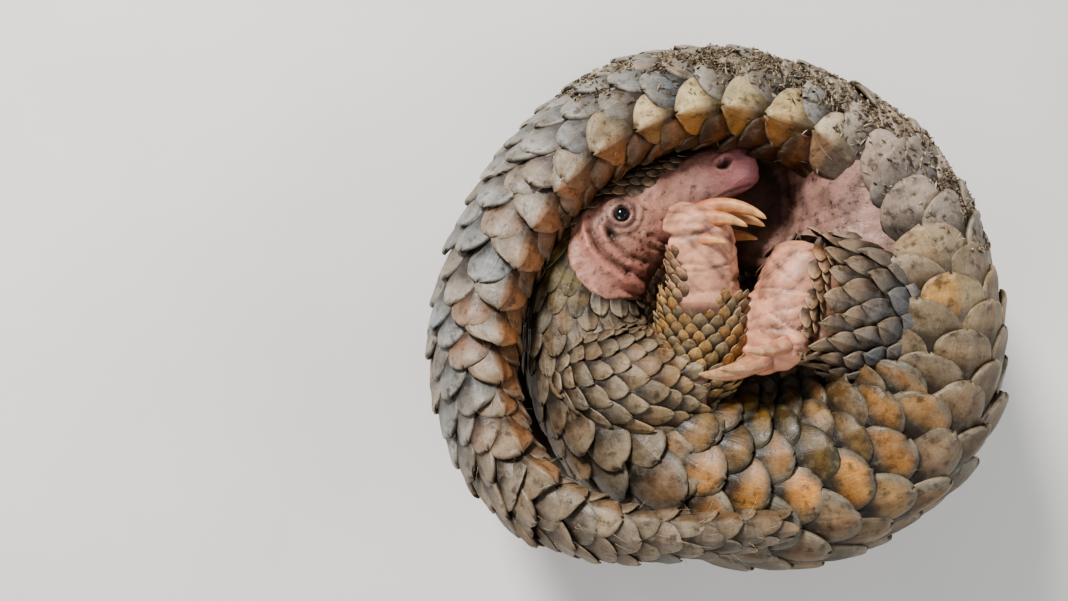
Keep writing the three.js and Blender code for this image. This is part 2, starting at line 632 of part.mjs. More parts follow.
// Each leg, its foot and its claws, made for the right side and mirrored for the left.
for (const [word, mirror] of [["right", 1], ["left", -1]]) {
  const place = (solid) => onFloor(mirror > 0 ? solid : toLeft(solid));
  const clawRooms = Object.values(FEET).flatMap((foot) => (
    foot.digits.map((digit) => clawSolid(foot, digit, GAP))
  ));
  const clawRoom = wasm.Manifold.union(clawRooms);
  const footRoom = footSolid(FEET.hindfoot, 3 * GAP);
  for (const [name, parts] of Object.entries(LIMBS)) {
    const foot = FEET[name === "foreleg" ? "forefoot" : "hindfoot"];
    const limb = limbCurves(parts.at(-1));
    const way = limb.line.getTangent(1);
    const wrist = way.dot(limb.line.getPoint(1));
    const above = { normal: way.clone().negate().toArray(), offset: GAP / 2 - wrist };
    const below = { normal: way.toArray(), offset: GAP / 2 + wrist };
    const leg = trimTo(join(parts.map((part) => limbTube(part, 1))), above);
    const room = name === "foreleg" ? clawRoom.add(footRoom) : clawRoom;
    const beside = name === "foreleg" ? nudged(solids.neck.add(solids.torso_chest)) : nudged(solids.tail_1);
    const outside = place(leg.subtract(room)).subtract(core(-ROOT_DEPTH));
    solids[name + "_" + word] = largest(outside.subtract(beside));
    const footName = (name === "foreleg" ? "forefoot_" : "hindfoot_") + word;
    const bareFoot = trimTo(footSolid(foot), below).subtract(clawRoom);
    solids[footName] = largest(place(bareFoot).subtract(bodyRoom).subtract(headRoom));
    foot.digits.forEach((digit, i) => {
      const clawName = footName.replace("foot", "claw") + "_" + (i + 1);
      solids[clawName] = place(clawSolid(foot, digit));
    });
  }
}

// Colours, roughness by kind of piece.
const FINISHES = {
  scales: new THREE.MeshStandardMaterial({ color: 0x6d5f4e, roughness: 0.6, metalness: 0 }),
  skin: new THREE.MeshStandardMaterial({ color: 0xcf9a88, roughness: 0.65, metalness: 0 }),
  claw: new THREE.MeshStandardMaterial({ color: 0xd9a577, roughness: 0.4, metalness: 0 }),
  eye: new THREE.MeshStandardMaterial({ color: 0x0c0a0a, roughness: 0.08, metalness: 0 }),
};
function finishOf(name) {
  if (/claw/.test(name)) return FINISHES.claw;
  if (/eye/.test(name)) return FINISHES.eye;
  return /head|ear_|foot/.test(name) ? FINISHES.skin : FINISHES.scales;
}

// The model, with its origin on the floor below the middle of its bounding box.
const pangolin = new THREE.Group();
for (const [name, solid] of Object.entries(solids)) {
  const { vertProperties, triVerts, numProp } = solid.getMesh();
  const geometry = new THREE.BufferGeometry();
  const corners = [];
  for (let i = 0; i < vertProperties.length; i += numProp) corners.push(...vertProperties.slice(i, i + 3));
  geometry.setAttribute("position", new THREE.Float32BufferAttribute(corners, 3));
  geometry.setIndex([...triVerts]);
  geometry.computeVertexNormals();
  const mesh = new THREE.Mesh(geometry, finishOf(name));
  mesh.name = name;
  pangolin.add(mesh);
}
const bounds = new THREE.Box3().setFromObject(pangolin);
const middleOfBox = bounds.getCenter(new THREE.Vector3());
pangolin.position.set(-middleOfBox.x, -middleOfBox.y, -bounds.min.z);

export default pangolin;
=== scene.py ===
import math
import bpy
import bmesh
import numpy as np
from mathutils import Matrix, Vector
from mathutils.bvhtree import BVHTree
from mathutils.kdtree import KDTree

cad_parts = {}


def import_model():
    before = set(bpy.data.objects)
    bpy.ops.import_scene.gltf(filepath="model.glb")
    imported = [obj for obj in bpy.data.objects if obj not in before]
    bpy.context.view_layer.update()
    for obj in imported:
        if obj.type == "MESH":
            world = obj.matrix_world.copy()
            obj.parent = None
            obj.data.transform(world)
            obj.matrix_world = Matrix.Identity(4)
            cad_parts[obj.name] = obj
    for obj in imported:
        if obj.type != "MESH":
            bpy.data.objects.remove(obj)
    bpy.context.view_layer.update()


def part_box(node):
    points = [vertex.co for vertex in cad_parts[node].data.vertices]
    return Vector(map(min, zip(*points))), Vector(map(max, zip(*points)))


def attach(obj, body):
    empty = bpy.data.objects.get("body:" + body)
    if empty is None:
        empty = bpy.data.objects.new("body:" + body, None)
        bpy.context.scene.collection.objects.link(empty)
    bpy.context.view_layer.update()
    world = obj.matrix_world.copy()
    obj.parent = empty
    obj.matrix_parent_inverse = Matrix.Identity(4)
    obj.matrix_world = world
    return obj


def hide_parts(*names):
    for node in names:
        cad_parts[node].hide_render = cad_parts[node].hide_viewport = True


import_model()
rng = np.random.default_rng(11)

# Driving sizes in millimetres, as in the solids.
SQUARENESS = 2.35
MIDDLE = 73.0
SECTIONS = {
    "nose": (16.5, 72.5, 90, 10, 9.5, 10.5, 0),
    "nostrils": (9, 70.5, 90, 12, 11.5, 12.5, 0),
    "snout": (-6, 65, 88.5, 15.5, 15, 15, 0),
    "bridge": (-24, 55, 87.5, 20.5, 19, 19, 0),
    "brow": (-41, 42, 86.5, 25, 24, 23.5, 0),
    "cheek": (-54, 29, 85, 26, 27.5, 27, 0),
    "nape": (-62.5, 13, 83, 27.5, 29.5, 29, 0),
    "neck": (-64, -6, 80, 29.5, 30, 35, 0),
    "shoulder": (-54, -32, 76, 38, 37, 48, 0),
    "chest": (-27.4, -64.5, 73.5, 41, 41, 60, 0),
    "middle": (15.8, -82, 72.5, 41, 43, 70, 0),
    "loin": (60.5, -71, 72.5, 42.5, 43, 72, 0),
    "hip": (91, -39.5, 73, 42, 45, 72, 2),
    "rump": (99, 0, 74, 39, 56, 70, 5),
    "croup": (94, 40, 76, 33, 66, 63, 8),
    "root": (78.5, 72, 78, 27, 50, 56, 11),
    "tail_a": (48, 96.5, 79, 22, 25, 48, 14),
    "tail_b": (2, 108, 81, 21.5, 20, 43, 16),
    "tail_c": (-44, 99.5, 83, 20.5, 20, 39, 17),
    "tail_d": (-85, 68.5, 86, 19, 19, 35, 18),
    "tail_e": (-110.5, 25, 90, 17.5, 17.5, 31.5, 20),
    "tail_f": (-120.5, -19, 96, 16, 16, 28, 23),
    "tail_g": (-113, -57, 109, 14, 13.5, 24, 29),
    "tail_h": (-92, -84, 129, 12, 9.5, 20, 36),
    "tail_i": (-58, -98, 146, 9.5, 8, 16, 42),
    "tail_j": (-20.7, -99.5, 152, 7.5, 6.5, 12, 40),
    "tail_k": (10, -97, 151, 6, 5.2, 9, 36),
    "tip": (25, -95, 149, 4, 3.8, 5.5, 34),
}
NAMES = list(SECTIONS)
TABLE = np.array([SECTIONS[name] for name in NAMES], float)
# Columns of the table.
PLACE, BACK, BELLY, WIDE, ROLL = slice(0, 3), 3, 4, 5, 6
ALONG = np.concatenate([[0], np.cumsum(np.linalg.norm(np.diff(TABLE[:, PLACE], axis=0), axis=1))])
TOTAL = ALONG[-1]
LAST = len(ALONG) - 1
BEFORE = np.maximum(np.arange(LAST + 1) - 1, 0)
AFTER = np.minimum(np.arange(LAST + 1) + 1, LAST)
SLOPES = (TABLE[AFTER] - TABLE[BEFORE]) / (ALONG[AFTER] - ALONG[BEFORE])[:, None]
UP = np.array([0.0, 0.0, 1.0])
SIDES = ((1, "right"), (-1, "left"))


def place_of(name):
    return ALONG[NAMES.index(name)]


def unit(v):
    return v / np.linalg.norm(v, axis=-1, keepdims=True)


# Angles spread evenly round a circle.
def turns(count):
    return np.linspace(0, 2 * np.pi, count, endpoint=False)


# Points on the right side, or their mirror image on the left.
def mirrored(points, mirror):
    out = np.array(points)
    if mirror < 0:
        out[..., 2] = 2 * MIDDLE - out[..., 2]
    return out


# Smooth curves through one column of the table or a slice of them.
def smooth(columns, s):
    s = np.asarray(s, float)
    i = np.clip(np.searchsorted(ALONG, s) - 1, 0, LAST - 1)
    h = ALONG[i + 1] - ALONG[i]
    t = (s - ALONG[i]) / h
    if isinstance(columns, slice):
        h = h[..., None]
        t = t[..., None]
    values = TABLE[:, columns]
    slopes = SLOPES[:, columns]
    start = (2 * t**3 - 3 * t**2 + 1) * values[i] + (t**3 - 2 * t**2 + t) * h * slopes[i]
    return start + (3 * t**2 - 2 * t**3) * values[i + 1] + (t**3 - t**2) * h * slopes[i + 1]


# Centre, direction along, direction to the back and direction to the right side.
def sections(s):
    s = np.asarray(s, float)
    t = unit(smooth(PLACE, np.minimum(TOTAL, s + 0.5)) - smooth(PLACE, np.maximum(0, s - 0.5)))
    outward = unit(np.cross(t, UP))
    side = np.cross(outward, t)
    roll = np.radians(smooth(ROLL, s))[..., None]
    back = outward * np.cos(roll) + side * np.sin(roll)
    return smooth(PLACE, s), t, back, side * np.cos(roll) - outward * np.sin(roll)


def square(x):
    return np.sign(x) * np.abs(x) ** (2 / SQUARENESS)


# Angle 0 is the middle of the back and a quarter turn is the right side.
def skin_point(s, angle, grow=0.0):
    s, angle, grow = np.broadcast_arrays(np.asarray(s, float), angle, grow)
    c, _, back, side = sections(s)
    reach = np.where(np.cos(angle) > 0, smooth(BACK, s), smooth(BELLY, s)) + grow
    wide = smooth(WIDE, s) + grow
    out = back * (reach * square(np.cos(angle)))[..., None]
    return c + out + side * (wide * square(np.sin(angle)))[..., None]


ANGLE_STEPS = 36


# The angle at a share of the girth from the middle of the back, negative on the left side.
def angle_at(s, share):
    s, share = np.broadcast_arrays(np.asarray(s, float), share)
    shape = s.shape
    s = s.ravel()
    share = share.ravel()
    a = np.linspace(0, np.pi, ANGLE_STEPS + 1)
    back, belly, wide = (smooth(column, s)[:, None] for column in (BACK, BELLY, WIDE))
    reach = np.where(np.arange(ANGLE_STEPS)[None, :] < ANGLE_STEPS / 2, back, belly)
    steps = np.hypot(reach * np.diff(square(np.cos(a))), wide * np.diff(square(np.sin(a))))
    lengths = np.concatenate([np.zeros((len(s), 1)), np.cumsum(steps, axis=1)], axis=1)
    whole = np.round(share)
    rest = share - whole
    wanted = np.abs(rest) * 2 * lengths[:, -1]
    i = np.clip((lengths < wanted[:, None]).sum(1) - 1, 0, ANGLE_STEPS - 1)
    row = np.arange(len(s))
    t = (wanted - lengths[row, i]) / (lengths[row, i + 1] - lengths[row, i])
    return (np.sign(rest) * np.pi * (i + t) / ANGLE_STEPS + 2 * np.pi * whole).reshape(shape)


def body_point(s, share, grow=0.0):
    return skin_point(s, angle_at(s, share), grow)


EYE = {"s": 66, "share": 0.2, "radius": 4.2, "sunk": 2.2}


# The eye's place on the skin, the normal there and the direction across.
def eye_frame(side):
    s = EYE["s"]
    angle = float(angle_at(s, EYE["share"])) * side
    along = skin_point(s + 0.5, angle) - skin_point(s - 0.5, angle)
    around = skin_point(s, angle + 0.02) - skin_point(s, angle - 0.02)
    normal = unit(np.cross(along, around))
    t = sections(s)[1]
    return skin_point(s, angle), normal, np.cross(normal, unit(t - normal * t.dot(normal)))


# The frame's eye fixes where the design's millimetres lie in the row frame.
eye_place, eye_normal, _ = eye_frame(1)
SHIFT = np.mean(np.array([list(corner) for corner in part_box("eye_right")]), axis=0) * 1000
SHIFT = SHIFT - (eye_place - eye_normal * EYE["sunk"])
FLOOR = 0.0003


# Design millimetres to the row frame's metres.
def world(p):
    return (np.asarray(p) + SHIFT) * 0.001


# The same, with what would pass through the floor pressed flat on it.
def above_floor(p):
    q = world(p)
    q[..., 2] = np.maximum(q[..., 2], FLOOR)
    return q


LIMBS = {
    "foreleg": [
        {"path": [(-60, -31, 98, 25, 25), (-49, -35, 110, 27, 25), (-34, -36, 117, 27, 23),
                  (-20, -33, 118, 22, 18)]},
        {"path": [(-17, -31, 117, 20, 17), (-12, -20, 119, 22, 17.5), (-10, -6, 120, 21.5, 17),
                  (-9.5, 8, 121, 20, 16.5)]},
    ],
    "hindleg": [
        {"path": [(104, -20, 94, 42, 34), (87, -10, 109, 41, 31), (69, -1, 118, 37, 28),
                  (53, 4, 124, 32.5, 25), (42, 6, 127, 28.5, 22.5)]},
    ],
}


# A curve through a limb's points, as a fine table of centre and reaches, with the length along it.
def limb_table(path):
    path = np.array(path, float)
    ends = np.vstack([2 * path[0] - path[1], path, 2 * path[-1] - path[-2]])
    rows = []
    for k in range(len(path) - 1):
        p = ends[k:k + 4]
        for t in np.linspace(0, 1, 24, endpoint=False):
            row = 0.5 * (2 * p[1] + (p[2] - p[0]) * t + (2 * p[0] - 5 * p[1] + 4 * p[2] - p[3]) * t**2
                         + (3 * p[1] - p[0] - 3 * p[2] + p[3]) * t**3)
            rows.append(row)
    rows = np.array(rows + [path[-1]])
    return rows, np.concatenate([[0], np.cumsum(np.linalg.norm(np.diff(rows[:, :3], axis=0), axis=1))])


for parts in LIMBS.values():
    for limb in parts:
        limb["rows"], limb["length"] = limb_table(limb["path"])


# A point on a limb at a distance along it, an angle round it and a height over its skin.
def limb_point(limb, along, angle, grow, mirror):
    along, angle, grow = np.broadcast_arrays(np.asarray(along, float), angle, grow)
    rows, length = limb["rows"], limb["length"]
    end = length[-1]

    def columns(at, count):
        return np.stack([np.interp(np.clip(at, 0, end), length, rows[:, k]) for k in range(count)], axis=-1)

    inside = np.clip(along, 0, end)
    row = columns(inside, 5)
    way = unit(columns(inside + 4, 3) - columns(inside - 4, 3))
    flat = unit(np.cross(UP, way))
    p = row[..., :3] + way * (along - inside)[..., None]
    p = p + flat * ((row[..., 3] + grow) * np.cos(angle))[..., None]
    p = p + np.cross(way, flat) * ((row[..., 4] + grow) * np.sin(angle))[..., None]
    return mirrored(p, mirror)


FEET = {
    "forefoot": {
        "origin": (-9.6, 8.9, 121.9), "toes": (-0.06, 1, 0.05), "palm": (0.86, 0.06, 0.5), "turn": 92,
        "body": [(-8, 19, 15.5), (0, 19.5, 15.5), (18, 20, 15.2), (30, 19, 13.5), (37, 16, 10.5),
                 (41, 11, 7)],
        "digits": [(15, 25, 5, 5.5, 22, 3.9, 36), (8, 32, 8, 6.5, 31, 4.8, 58), (-1, 36, 10, 7, 37, 5.4, 66),
                   (-9.5, 32, 8, 6, 29, 4.6, 58), (-15.5, 24, 4, 5, 17, 3.4, 34)],
    },
    "hindfoot": {
        "origin": (38, 28, 126), "toes": (-0.36, -0.93, 0.02), "palm": (-0.78, 0.3, 0.5), "turn": 62,
        "body": [(-3, 11, 8), (2, 16.5, 13), (16, 18.2, 15.5), (36, 18.5, 14.5), (52, 17, 11), (57, 12, 7)],
        "digits": [(15, 41, 1, 6, 19, 3.9, 26), (8, 50, 1, 7, 25, 4.6, 30), (0, 54, 1, 7.5, 33, 5.0, 32),
                   (-8, 50, 1, 7, 30, 4.9, 30), (-15, 41, 1, 6, 25, 4.4, 28)],
    },
}
GAP = 0.32


def foot_frame(foot):
    toes = unit(np.array(foot["toes"], float))
    across = unit(np.cross(toes, np.array(foot["palm"], float)))
    return np.array(foot["origin"], float), toes, np.cross(across, toes), across


# A claw's middle line with its half thickness, bending towards the palm.
def claw_line(foot, digit, steps=18):
    origin, toes, palm, across = foot_frame(foot)
    aside, out, back, stub, length, thick, bend = digit
    turn = math.radians(foot["turn"])
    base = origin + across * aside + toes * out - palm * back
    ahead = toes * math.cos(turn) + palm * math.sin(turn)
    under = palm * math.cos(turn) - toes * math.sin(turn)
    at = base + ahead * (stub + GAP)
    line = []
    for k in range(steps + 1):
        t = k / steps
        line.append((at.copy(), thick * (1 - 0.86 * t**1.6)))
        way = math.radians(bend) * (t + 0.5 / steps - 0.45)
        at = at + (ahead * math.cos(way) + under * math.sin(way)) * length / steps
    return line, across, base, ahead


# Tube of rings with a fan over each end: returns corners and faces.
def tube(rings):
    n = len(rings[0])
    corners = np.concatenate(rings)
    faces = []
    for r in range(len(rings) - 1):
        for i in range(n):
            j = (i + 1) % n
            faces.append((r * n + i, r * n + j, (r + 1) * n + j, (r + 1) * n + i))
    for r in (0, len(rings) - 1):
        middle = len(corners)
        corners = np.vstack([corners, rings[r].mean(0)])
        for i in range(n):
            a = r * n + i
            b = r * n + (i + 1) % n
            faces.append((middle, a, b) if r else (middle, b, a))
    return corners, faces


# Rings of a bent tapering rod: points of centre, first reach and second reach.
def rod(points, across, sides=16):
    centres = np.array([p[0] for p in points])
    a = turns(sides)
    rings = []
    for k, (c, first_reach, second_reach) in enumerate(points):
        t = unit(centres[min(k + 1, len(points) - 1)] - centres[max(k - 1, 0)])
        second = unit(np.cross(t, across))
        ring = np.outer(np.cos(a) * first_reach, np.cross(second, t))
        rings.append(c + ring + np.outer(np.sin(a) * second_reach, second))
    return rings


def joined(parts):
    corners, faces, count = [], [], 0
    for c, f in parts:
        corners.append(c)
        faces += [tuple(i + count for i in face) for face in f]
        count += len(c)
    return np.concatenate(corners), faces


def linked(name, data):
    obj = bpy.data.objects.new(name, data)
    bpy.context.scene.collection.objects.link(obj)
    return obj


def mesh_object(name, corners, faces, smooth_shade=True):
    mesh = bpy.data.meshes.new(name)
    mesh.from_pydata([tuple(p) for p in above_floor(corners)], [], faces)
    mesh.validate()
    mesh.update()
    mesh.polygons.foreach_set("use_smooth", [smooth_shade] * len(mesh.polygons))
    return linked(name, mesh)


# Soft folds that close the curl: the belly behind the nose, and the crease between tail and neck.
BELLY_FOLD = {"centre": (32, 60, 57), "reach": (34, 42, 20)}
CREASE = {"path": [(6, 86, 64), (-16, 82, 62), (-38, 75, 60), (-57, 63, 59), (-76, 44, 60), (-90, 12, 58),
                   (-98, -21, 60), (-95, -53, 66), (-80, -74, 72), (-52, -86, 76)], "reach": 9}


def fold_rings(fold):
    a = turns(40)
    rings = []
    for polar in np.linspace(0.12, np.pi - 0.12, 16):
        round_it = np.sin(polar)
        ring = np.stack([round_it * np.cos(a), round_it * np.sin(a), np.full(40, -np.cos(polar))], 1)
        rings.append(np.array(fold["centre"], float) + ring * np.array(fold["reach"], float))
    return rings


# Closed forms of one side's legs and feet. An overlap runs the upper foreleg on into the lower one.
def limb_forms(mirror, ring, steps, foot_ring, overlap=None):
    forms = []
    for limbs in LIMBS.values():
        for limb in limbs:
            places = np.linspace(0, limb["length"][-1], steps)
            if overlap and limb is LIMBS["foreleg"][0]:
                places = np.append(places, places[-1] + overlap)
            rings = [limb_point(limb, np.full(ring, q), turns(ring), 0.0, mirror) for q in places]
            forms.append(tube(rings))
    for foot in FEET.values():
        origin, toes, _, across = foot_frame(foot)
        points = [(origin + toes * x, wide, thick) for x, wide, thick in foot["body"]]
        corners, faces = tube(rod(points, across, foot_ring))
        forms.append((mirrored(corners, mirror), faces))
    return forms


# The stub of flesh that a claw grows from.
def digit_form(foot, digit, mirror):
    line, across, base, ahead = claw_line(foot, digit)
    thick = digit[5]
    first = line[0][0]
    way = unit(line[1][0] - first)
    points = [(base - ahead * 6, 1, 1), (base, 1.42, 1.42), ((base + first) / 2, 1.5, 1.45),
              (first, 1.35, 1.4), (first + way * 1.6, 1.12, 1.15)]
    corners, faces = tube(rod([(c, a * thick, b * thick) for c, a, b in points], across, 14))
    return mirrored(corners, mirror), faces


# The bare skin: body, legs and feet as closed forms that are then melted into one.
def skin_parts():
    a = turns(64)
    nose = skin_point(np.full(64, 0.0), a)
    c, t, _, _ = sections(0.0)
    rings = [c - t * 4.6 * math.sqrt(1 - reach**2) + (nose - c) * reach for reach in (0.25, 0.55, 0.8, 0.93)]
    rings += [skin_point(np.full(64, s), a) for s in np.arange(0, TOTAL + 0.01, 3.2)]
    crease = [(np.array(c, float), CREASE["reach"], CREASE["reach"]) for c in CREASE["path"]]
    parts = [tube(rings), tube(fold_rings(BELLY_FOLD)), tube(rod(crease, UP, 20))]
    for mirror, _ in SIDES:
        parts += limb_forms(mirror, 40, 18, 28, overlap=8)
        parts += [digit_form(foot, digit, mirror) for foot in FEET.values() for digit in foot["digits"]]
    return parts


VOXEL = 0.0021
skin = mesh_object("skin", *joined(skin_parts()))
fuse = skin.modifiers.new("fuse", "REMESH")
fuse.mode = "VOXEL"
fuse.voxel_size = VOXEL
fuse.use_smooth_shade = True
soften = skin.modifiers.new("soften", "SMOOTH")
soften.factor = 0.5
soften.iterations = 5
rough_mesh = skin.data
skin.data = bpy.data.meshes.new_from_object(skin.evaluated_get(bpy.context.evaluated_depsgraph_get()))
skin.modifiers.clear()
bpy.data.meshes.remove(rough_mesh)

# Finer faces where bare skin shows: head, throat, feet and belly, each as a centre and a radius.
ZONES = [((-25, 52, 87), 50), ((-52, 26, 85), 40), ((-12, 30, 122), 34), ((30, 8, 124), 46),
         ((-12, 30, 2 * MIDDLE - 122), 30)]
zones = [(Vector(world(centre)), radius * 0.001) for centre, radius in ZONES]
edit = bmesh.new()
edit.from_mesh(skin.data)
chosen = [f for f in edit.faces if any((f.calc_center_median() - c).length < r for c, r in zones)]
chosen_edges = list({e for f in chosen for e in f.edges})
bmesh.ops.subdivide_edges(edit, edges=chosen_edges, cuts=1, use_grid_fill=True, smooth=0.5)
edit.to_mesh(skin.data)
edit.free()


def read(values, name, width=3):
    flat = np.empty(len(values) * width)
    values.foreach_get(name, flat)
    return flat.reshape(-1, width)


co = read(skin.data.vertices, "co") * 1000 - SHIFT
no = read(skin.data.vertices, "normal")

# The nearest place of a grid on the body for each corner of the skin.
grid_s, grid_share = np.meshgrid(np.arange(0, TOTAL, 2.5), np.linspace(-0.5, 0.5, 65)[:-1], indexing="ij")
grid_s = grid_s.ravel()
grid_share = grid_share.ravel()
grid_points = body_point(grid_s, grid_share)
tree = KDTree(len(grid_points))
for i, p in enumerate(grid_points):
    tree.insert(p, i)
tree.balance()
near = np.array([tree.find(p)[1] for p in co])
from_grid = co - grid_points[near]
off_body = np.linalg.norm(from_grid, axis=1)


# How far a corner lies past its grid place in the direction of a step, as a part of that step.
def past_grid(step):
    return (from_grid * step[near]).sum(1) / (step**2).sum(1)[near]


S_STEP = 2
SHARE_STEP = 0.008
half = S_STEP / 2
along_step = body_point(grid_s + half, grid_share) - body_point(grid_s - half, grid_share)
half = SHARE_STEP / 2
round_step = body_point(grid_s, grid_share + half) - body_point(grid_s, grid_share - half)
skin_s = grid_s[near] + np.clip(past_grid(along_step) * S_STEP, -1.5, 1.5)
skin_share = grid_share[near] + np.clip(past_grid(round_step) * SHARE_STEP, -0.01, 0.01)


# Smooth noise with a seed, from a few sine waves in turned directions.
def waves(p, size, seed, octaves=3):
    r = np.random.default_rng(seed)
    total = np.zeros(len(p))
    for octave in range(octaves):
        for _ in range(4):
            direction = unit(r.normal(size=3))
            phase = r.uniform(0, 6.28)
            warp = np.sin(p @ unit(r.normal(size=3)) * (3.1 / size) * 2**octave + r.uniform(0, 6.28))
            total += np.sin(p @ direction * (6.28 / size) * 2**octave + phase + 1.3 * warp) / 4 / 2**octave
    return total


def bell(d, width):
    return np.exp(-((d / width) ** 2))


# A step from 0 to 1 at a place, as soft as its width.
def ramp(x, middle, width):
    return 1 / (1 + np.exp(-(x - middle) / width))


def distance_to_line(p, line):
    if len(line) == 1:
        return np.linalg.norm(p - line[0], axis=1)
    best = np.full(len(p), 1e9)
    for a, b in zip(line[:-1], line[1:]):
        ab = b - a
        t = np.clip(((p - a) @ ab) / ab.dot(ab), 0, 1)
        best = np.minimum(best, np.linalg.norm(p - a - t[:, None] * ab, axis=1))
    return best


# The coat's lower border: the share of the girth where scales end, at places along the body.
BORDER = [(96, 0.43), (120, 0.43), (150, 0.4), (187, 0.365), (207, 0.41), (240, 0.48), (262, 0.49),
          (283, 0.45), (301, 0.4), (314, 0.36), (340, 0.32), (372, 0.3), (390, 0.26), (405, 0.235),
          (458, 0.235), (468, 0.265), (478, 0.31), (490, 0.36), (502, 0.42), (512, 0.6)]
# Where the neck's first scales stand at each share, behind the ear's ridge.
NECK_START = [(0, 72), (0.12, 84), (0.155, 92), (0.205, 98), (0.29, 103), (0.36, 99), (0.43, 97)]
# How low the forehead's plates reach at places along the head.
PLATES = [(12, 0.0), (20, 0.07), (26, 0.11), (33, 0.145), (45, 0.172), (52, 0.18), (60, 0.148),
          (70, 0.118), (80, 0.12), (92, 0.15)]


def curve(table, x):
    return np.interp(x, *zip(*table))


# How far a place lies inside the coat, in millimetres.
def coat_depth(s, share):
    side = np.abs(share)
    return np.minimum((curve(BORDER, s) - side) * 260, s - curve(NECK_START, side))


# What each side of the face carries, as lines: places along, shares of the girth, then the
# heights, darks and pinks, each as an amount, a distance from the line and a width.
LIPS = np.linspace(2.5, 33, 22)
FACE = [
    # Nostril: a short slit that bends back.
    ([10.2, 11.6, 13.4], [0.2, 0.222, 0.212], [(-3.8, 0, 1.6), (0.8, 3.2, 1.1)], [(1.4, 0, 1.6)],
     [(0.7, 2.4, 1.0)]),
    # Mouth.
    (LIPS, 0.41 - 0.02 * np.sin((LIPS - 2) / 29 * 3.14), [(-1.2, 0, 0.75), (0.4, 2.0, 1.0)],
     [(0.6, 0, 0.6)], []),
    # Ear: a long ridge of skin round the cheek, folds and hollows inside it, and the ear's opening.
    ([77, 81, 86, 89.5, 90, 88.5], [0.12, 0.15, 0.2, 0.265, 0.33, 0.4], [(3.0, 0, 2.6)], [],
     [(0.8, 0, 3.0)]),
    ([80.5, 83.5, 85, 84.5], [0.17, 0.215, 0.27, 0.33], [(-2.2, 0, 1.6)], [(0.65, 0, 1.4)], []),
    ([77, 80, 81, 77], [0.19, 0.24, 0.305, 0.38], [(1.7, 0, 1.9)], [], [(0.4, 0, 2.0)]),
    ([74, 77, 76.5, 72], [0.2, 0.25, 0.31, 0.37], [(-1.5, 0, 1.3)], [(0.6, 0, 1.3)], []),
    ([75.5], [0.222], [(-3.4, 0, 1.9)], [(1.2, 0, 1.9)], []),
]
# Cheek and throat: creases that follow the ridge.
for k, (first, last) in enumerate([(0.27, 0.42), (0.31, 0.44), (0.24, 0.4)]):
    s = np.array([70, 66, 60]) - 7 * k
    FACE.append((s, np.linspace(first, last, 3), [(-0.8, 0, 0.9), (0.35, 2.2, 1.2)], [(0.3, 0, 0.8)], []))
# Patches of dirt behind the eye and on the cheek: amount, place along, share and width.
FACE_DIRT = [(0.65, 76.0, 0.2, 8.5), (0.35, 66.0, 0.3, 7.0)]

side_share = np.abs(skin_share)
push = np.zeros(len(co))
dark = np.zeros(len(co))
pink = np.zeros(len(co))
uneven = 0.65 + 0.5 * waves(co, 9, 61)
on_head = (skin_s < curve(NECK_START, side_share)) & (off_body < 4)
for side, _ in SIDES:
    # The lids: a thin rim, deeper folds below and behind the eye, and a brow above it.
    point, _, across = eye_frame(side)
    d = np.linalg.norm(co - point, axis=1)
    below = ramp((co - point) @ across * side, 0, 2.0)
    push += 1.1 * bell(d - 4.7, 1.1) - 4.6 * bell(d, 3.3)
    push += -0.8 * bell(d - 7.0, 0.8) * (0.2 + 0.8 * below) * uneven + 0.35 * bell(d - 8.8, 1.2) * uneven
    push += -0.5 * bell(d - 10.6, 0.8) * below * uneven + 0.7 * bell(d - 8.0, 2.2) * (1 - below)
    # Painted shade in the lid folds and round the eye.
    dark += 0.75 * bell(d - 7.0, 0.9) * (0.3 + 0.7 * below) + 0.5 * bell(d - 10.6, 0.8) * below
    dark += bell(d, 4.2)
    # The darks of these lines are painted shade in the slits, hollows and creases.
    for s, shares, heights, darks, pinks in FACE:
        d = distance_to_line(co, body_point(np.array(s, float), side * np.array(shares)))
        for total, terms in ((push, heights), (dark, darks), (pink, pinks)):
            for amount, away, width in terms:
                total += amount * bell(d - away, width)
    for amount, s, share, width in FACE_DIRT:
        dark += amount * bell(np.linalg.norm(co - body_point(s, side * share), axis=1), width) * uneven

# Folds of bare skin: throat and belly, with painted shade in their creases.
throat = on_head & (side_share > 0.3) & (skin_s > 48)
crease = np.abs(np.sin(skin_s * 0.5 + 1.2 * waves(co, 16, 3)))
push += throat * 0.5 * (crease - 0.6)
dark += throat * 0.25 * bell(crease, 0.25)
pink += throat * 0.45
depth = coat_depth(skin_s, skin_share)
belly = (depth <= 0) & ~on_head & (skin_s < 512)
wrinkle = np.abs(np.sin(skin_s * 0.3 + 1.3 * waves(co, 44, 5, 1)))
push += belly * 0.9 * (wrinkle - 0.6) * np.clip(0.6 + waves(co, 30, 6, 1), 0, 1)
dark += belly * 0.34 * bell(wrinkle, 0.26)

# Palms and soles. Each deep crease crosses a foot's middle at a share of its length, with a slant.
FOOT_CREASES = [(0.2, 0.35), (0.4, -0.3), (0.6, 0.25), (0.78, -0.2)]
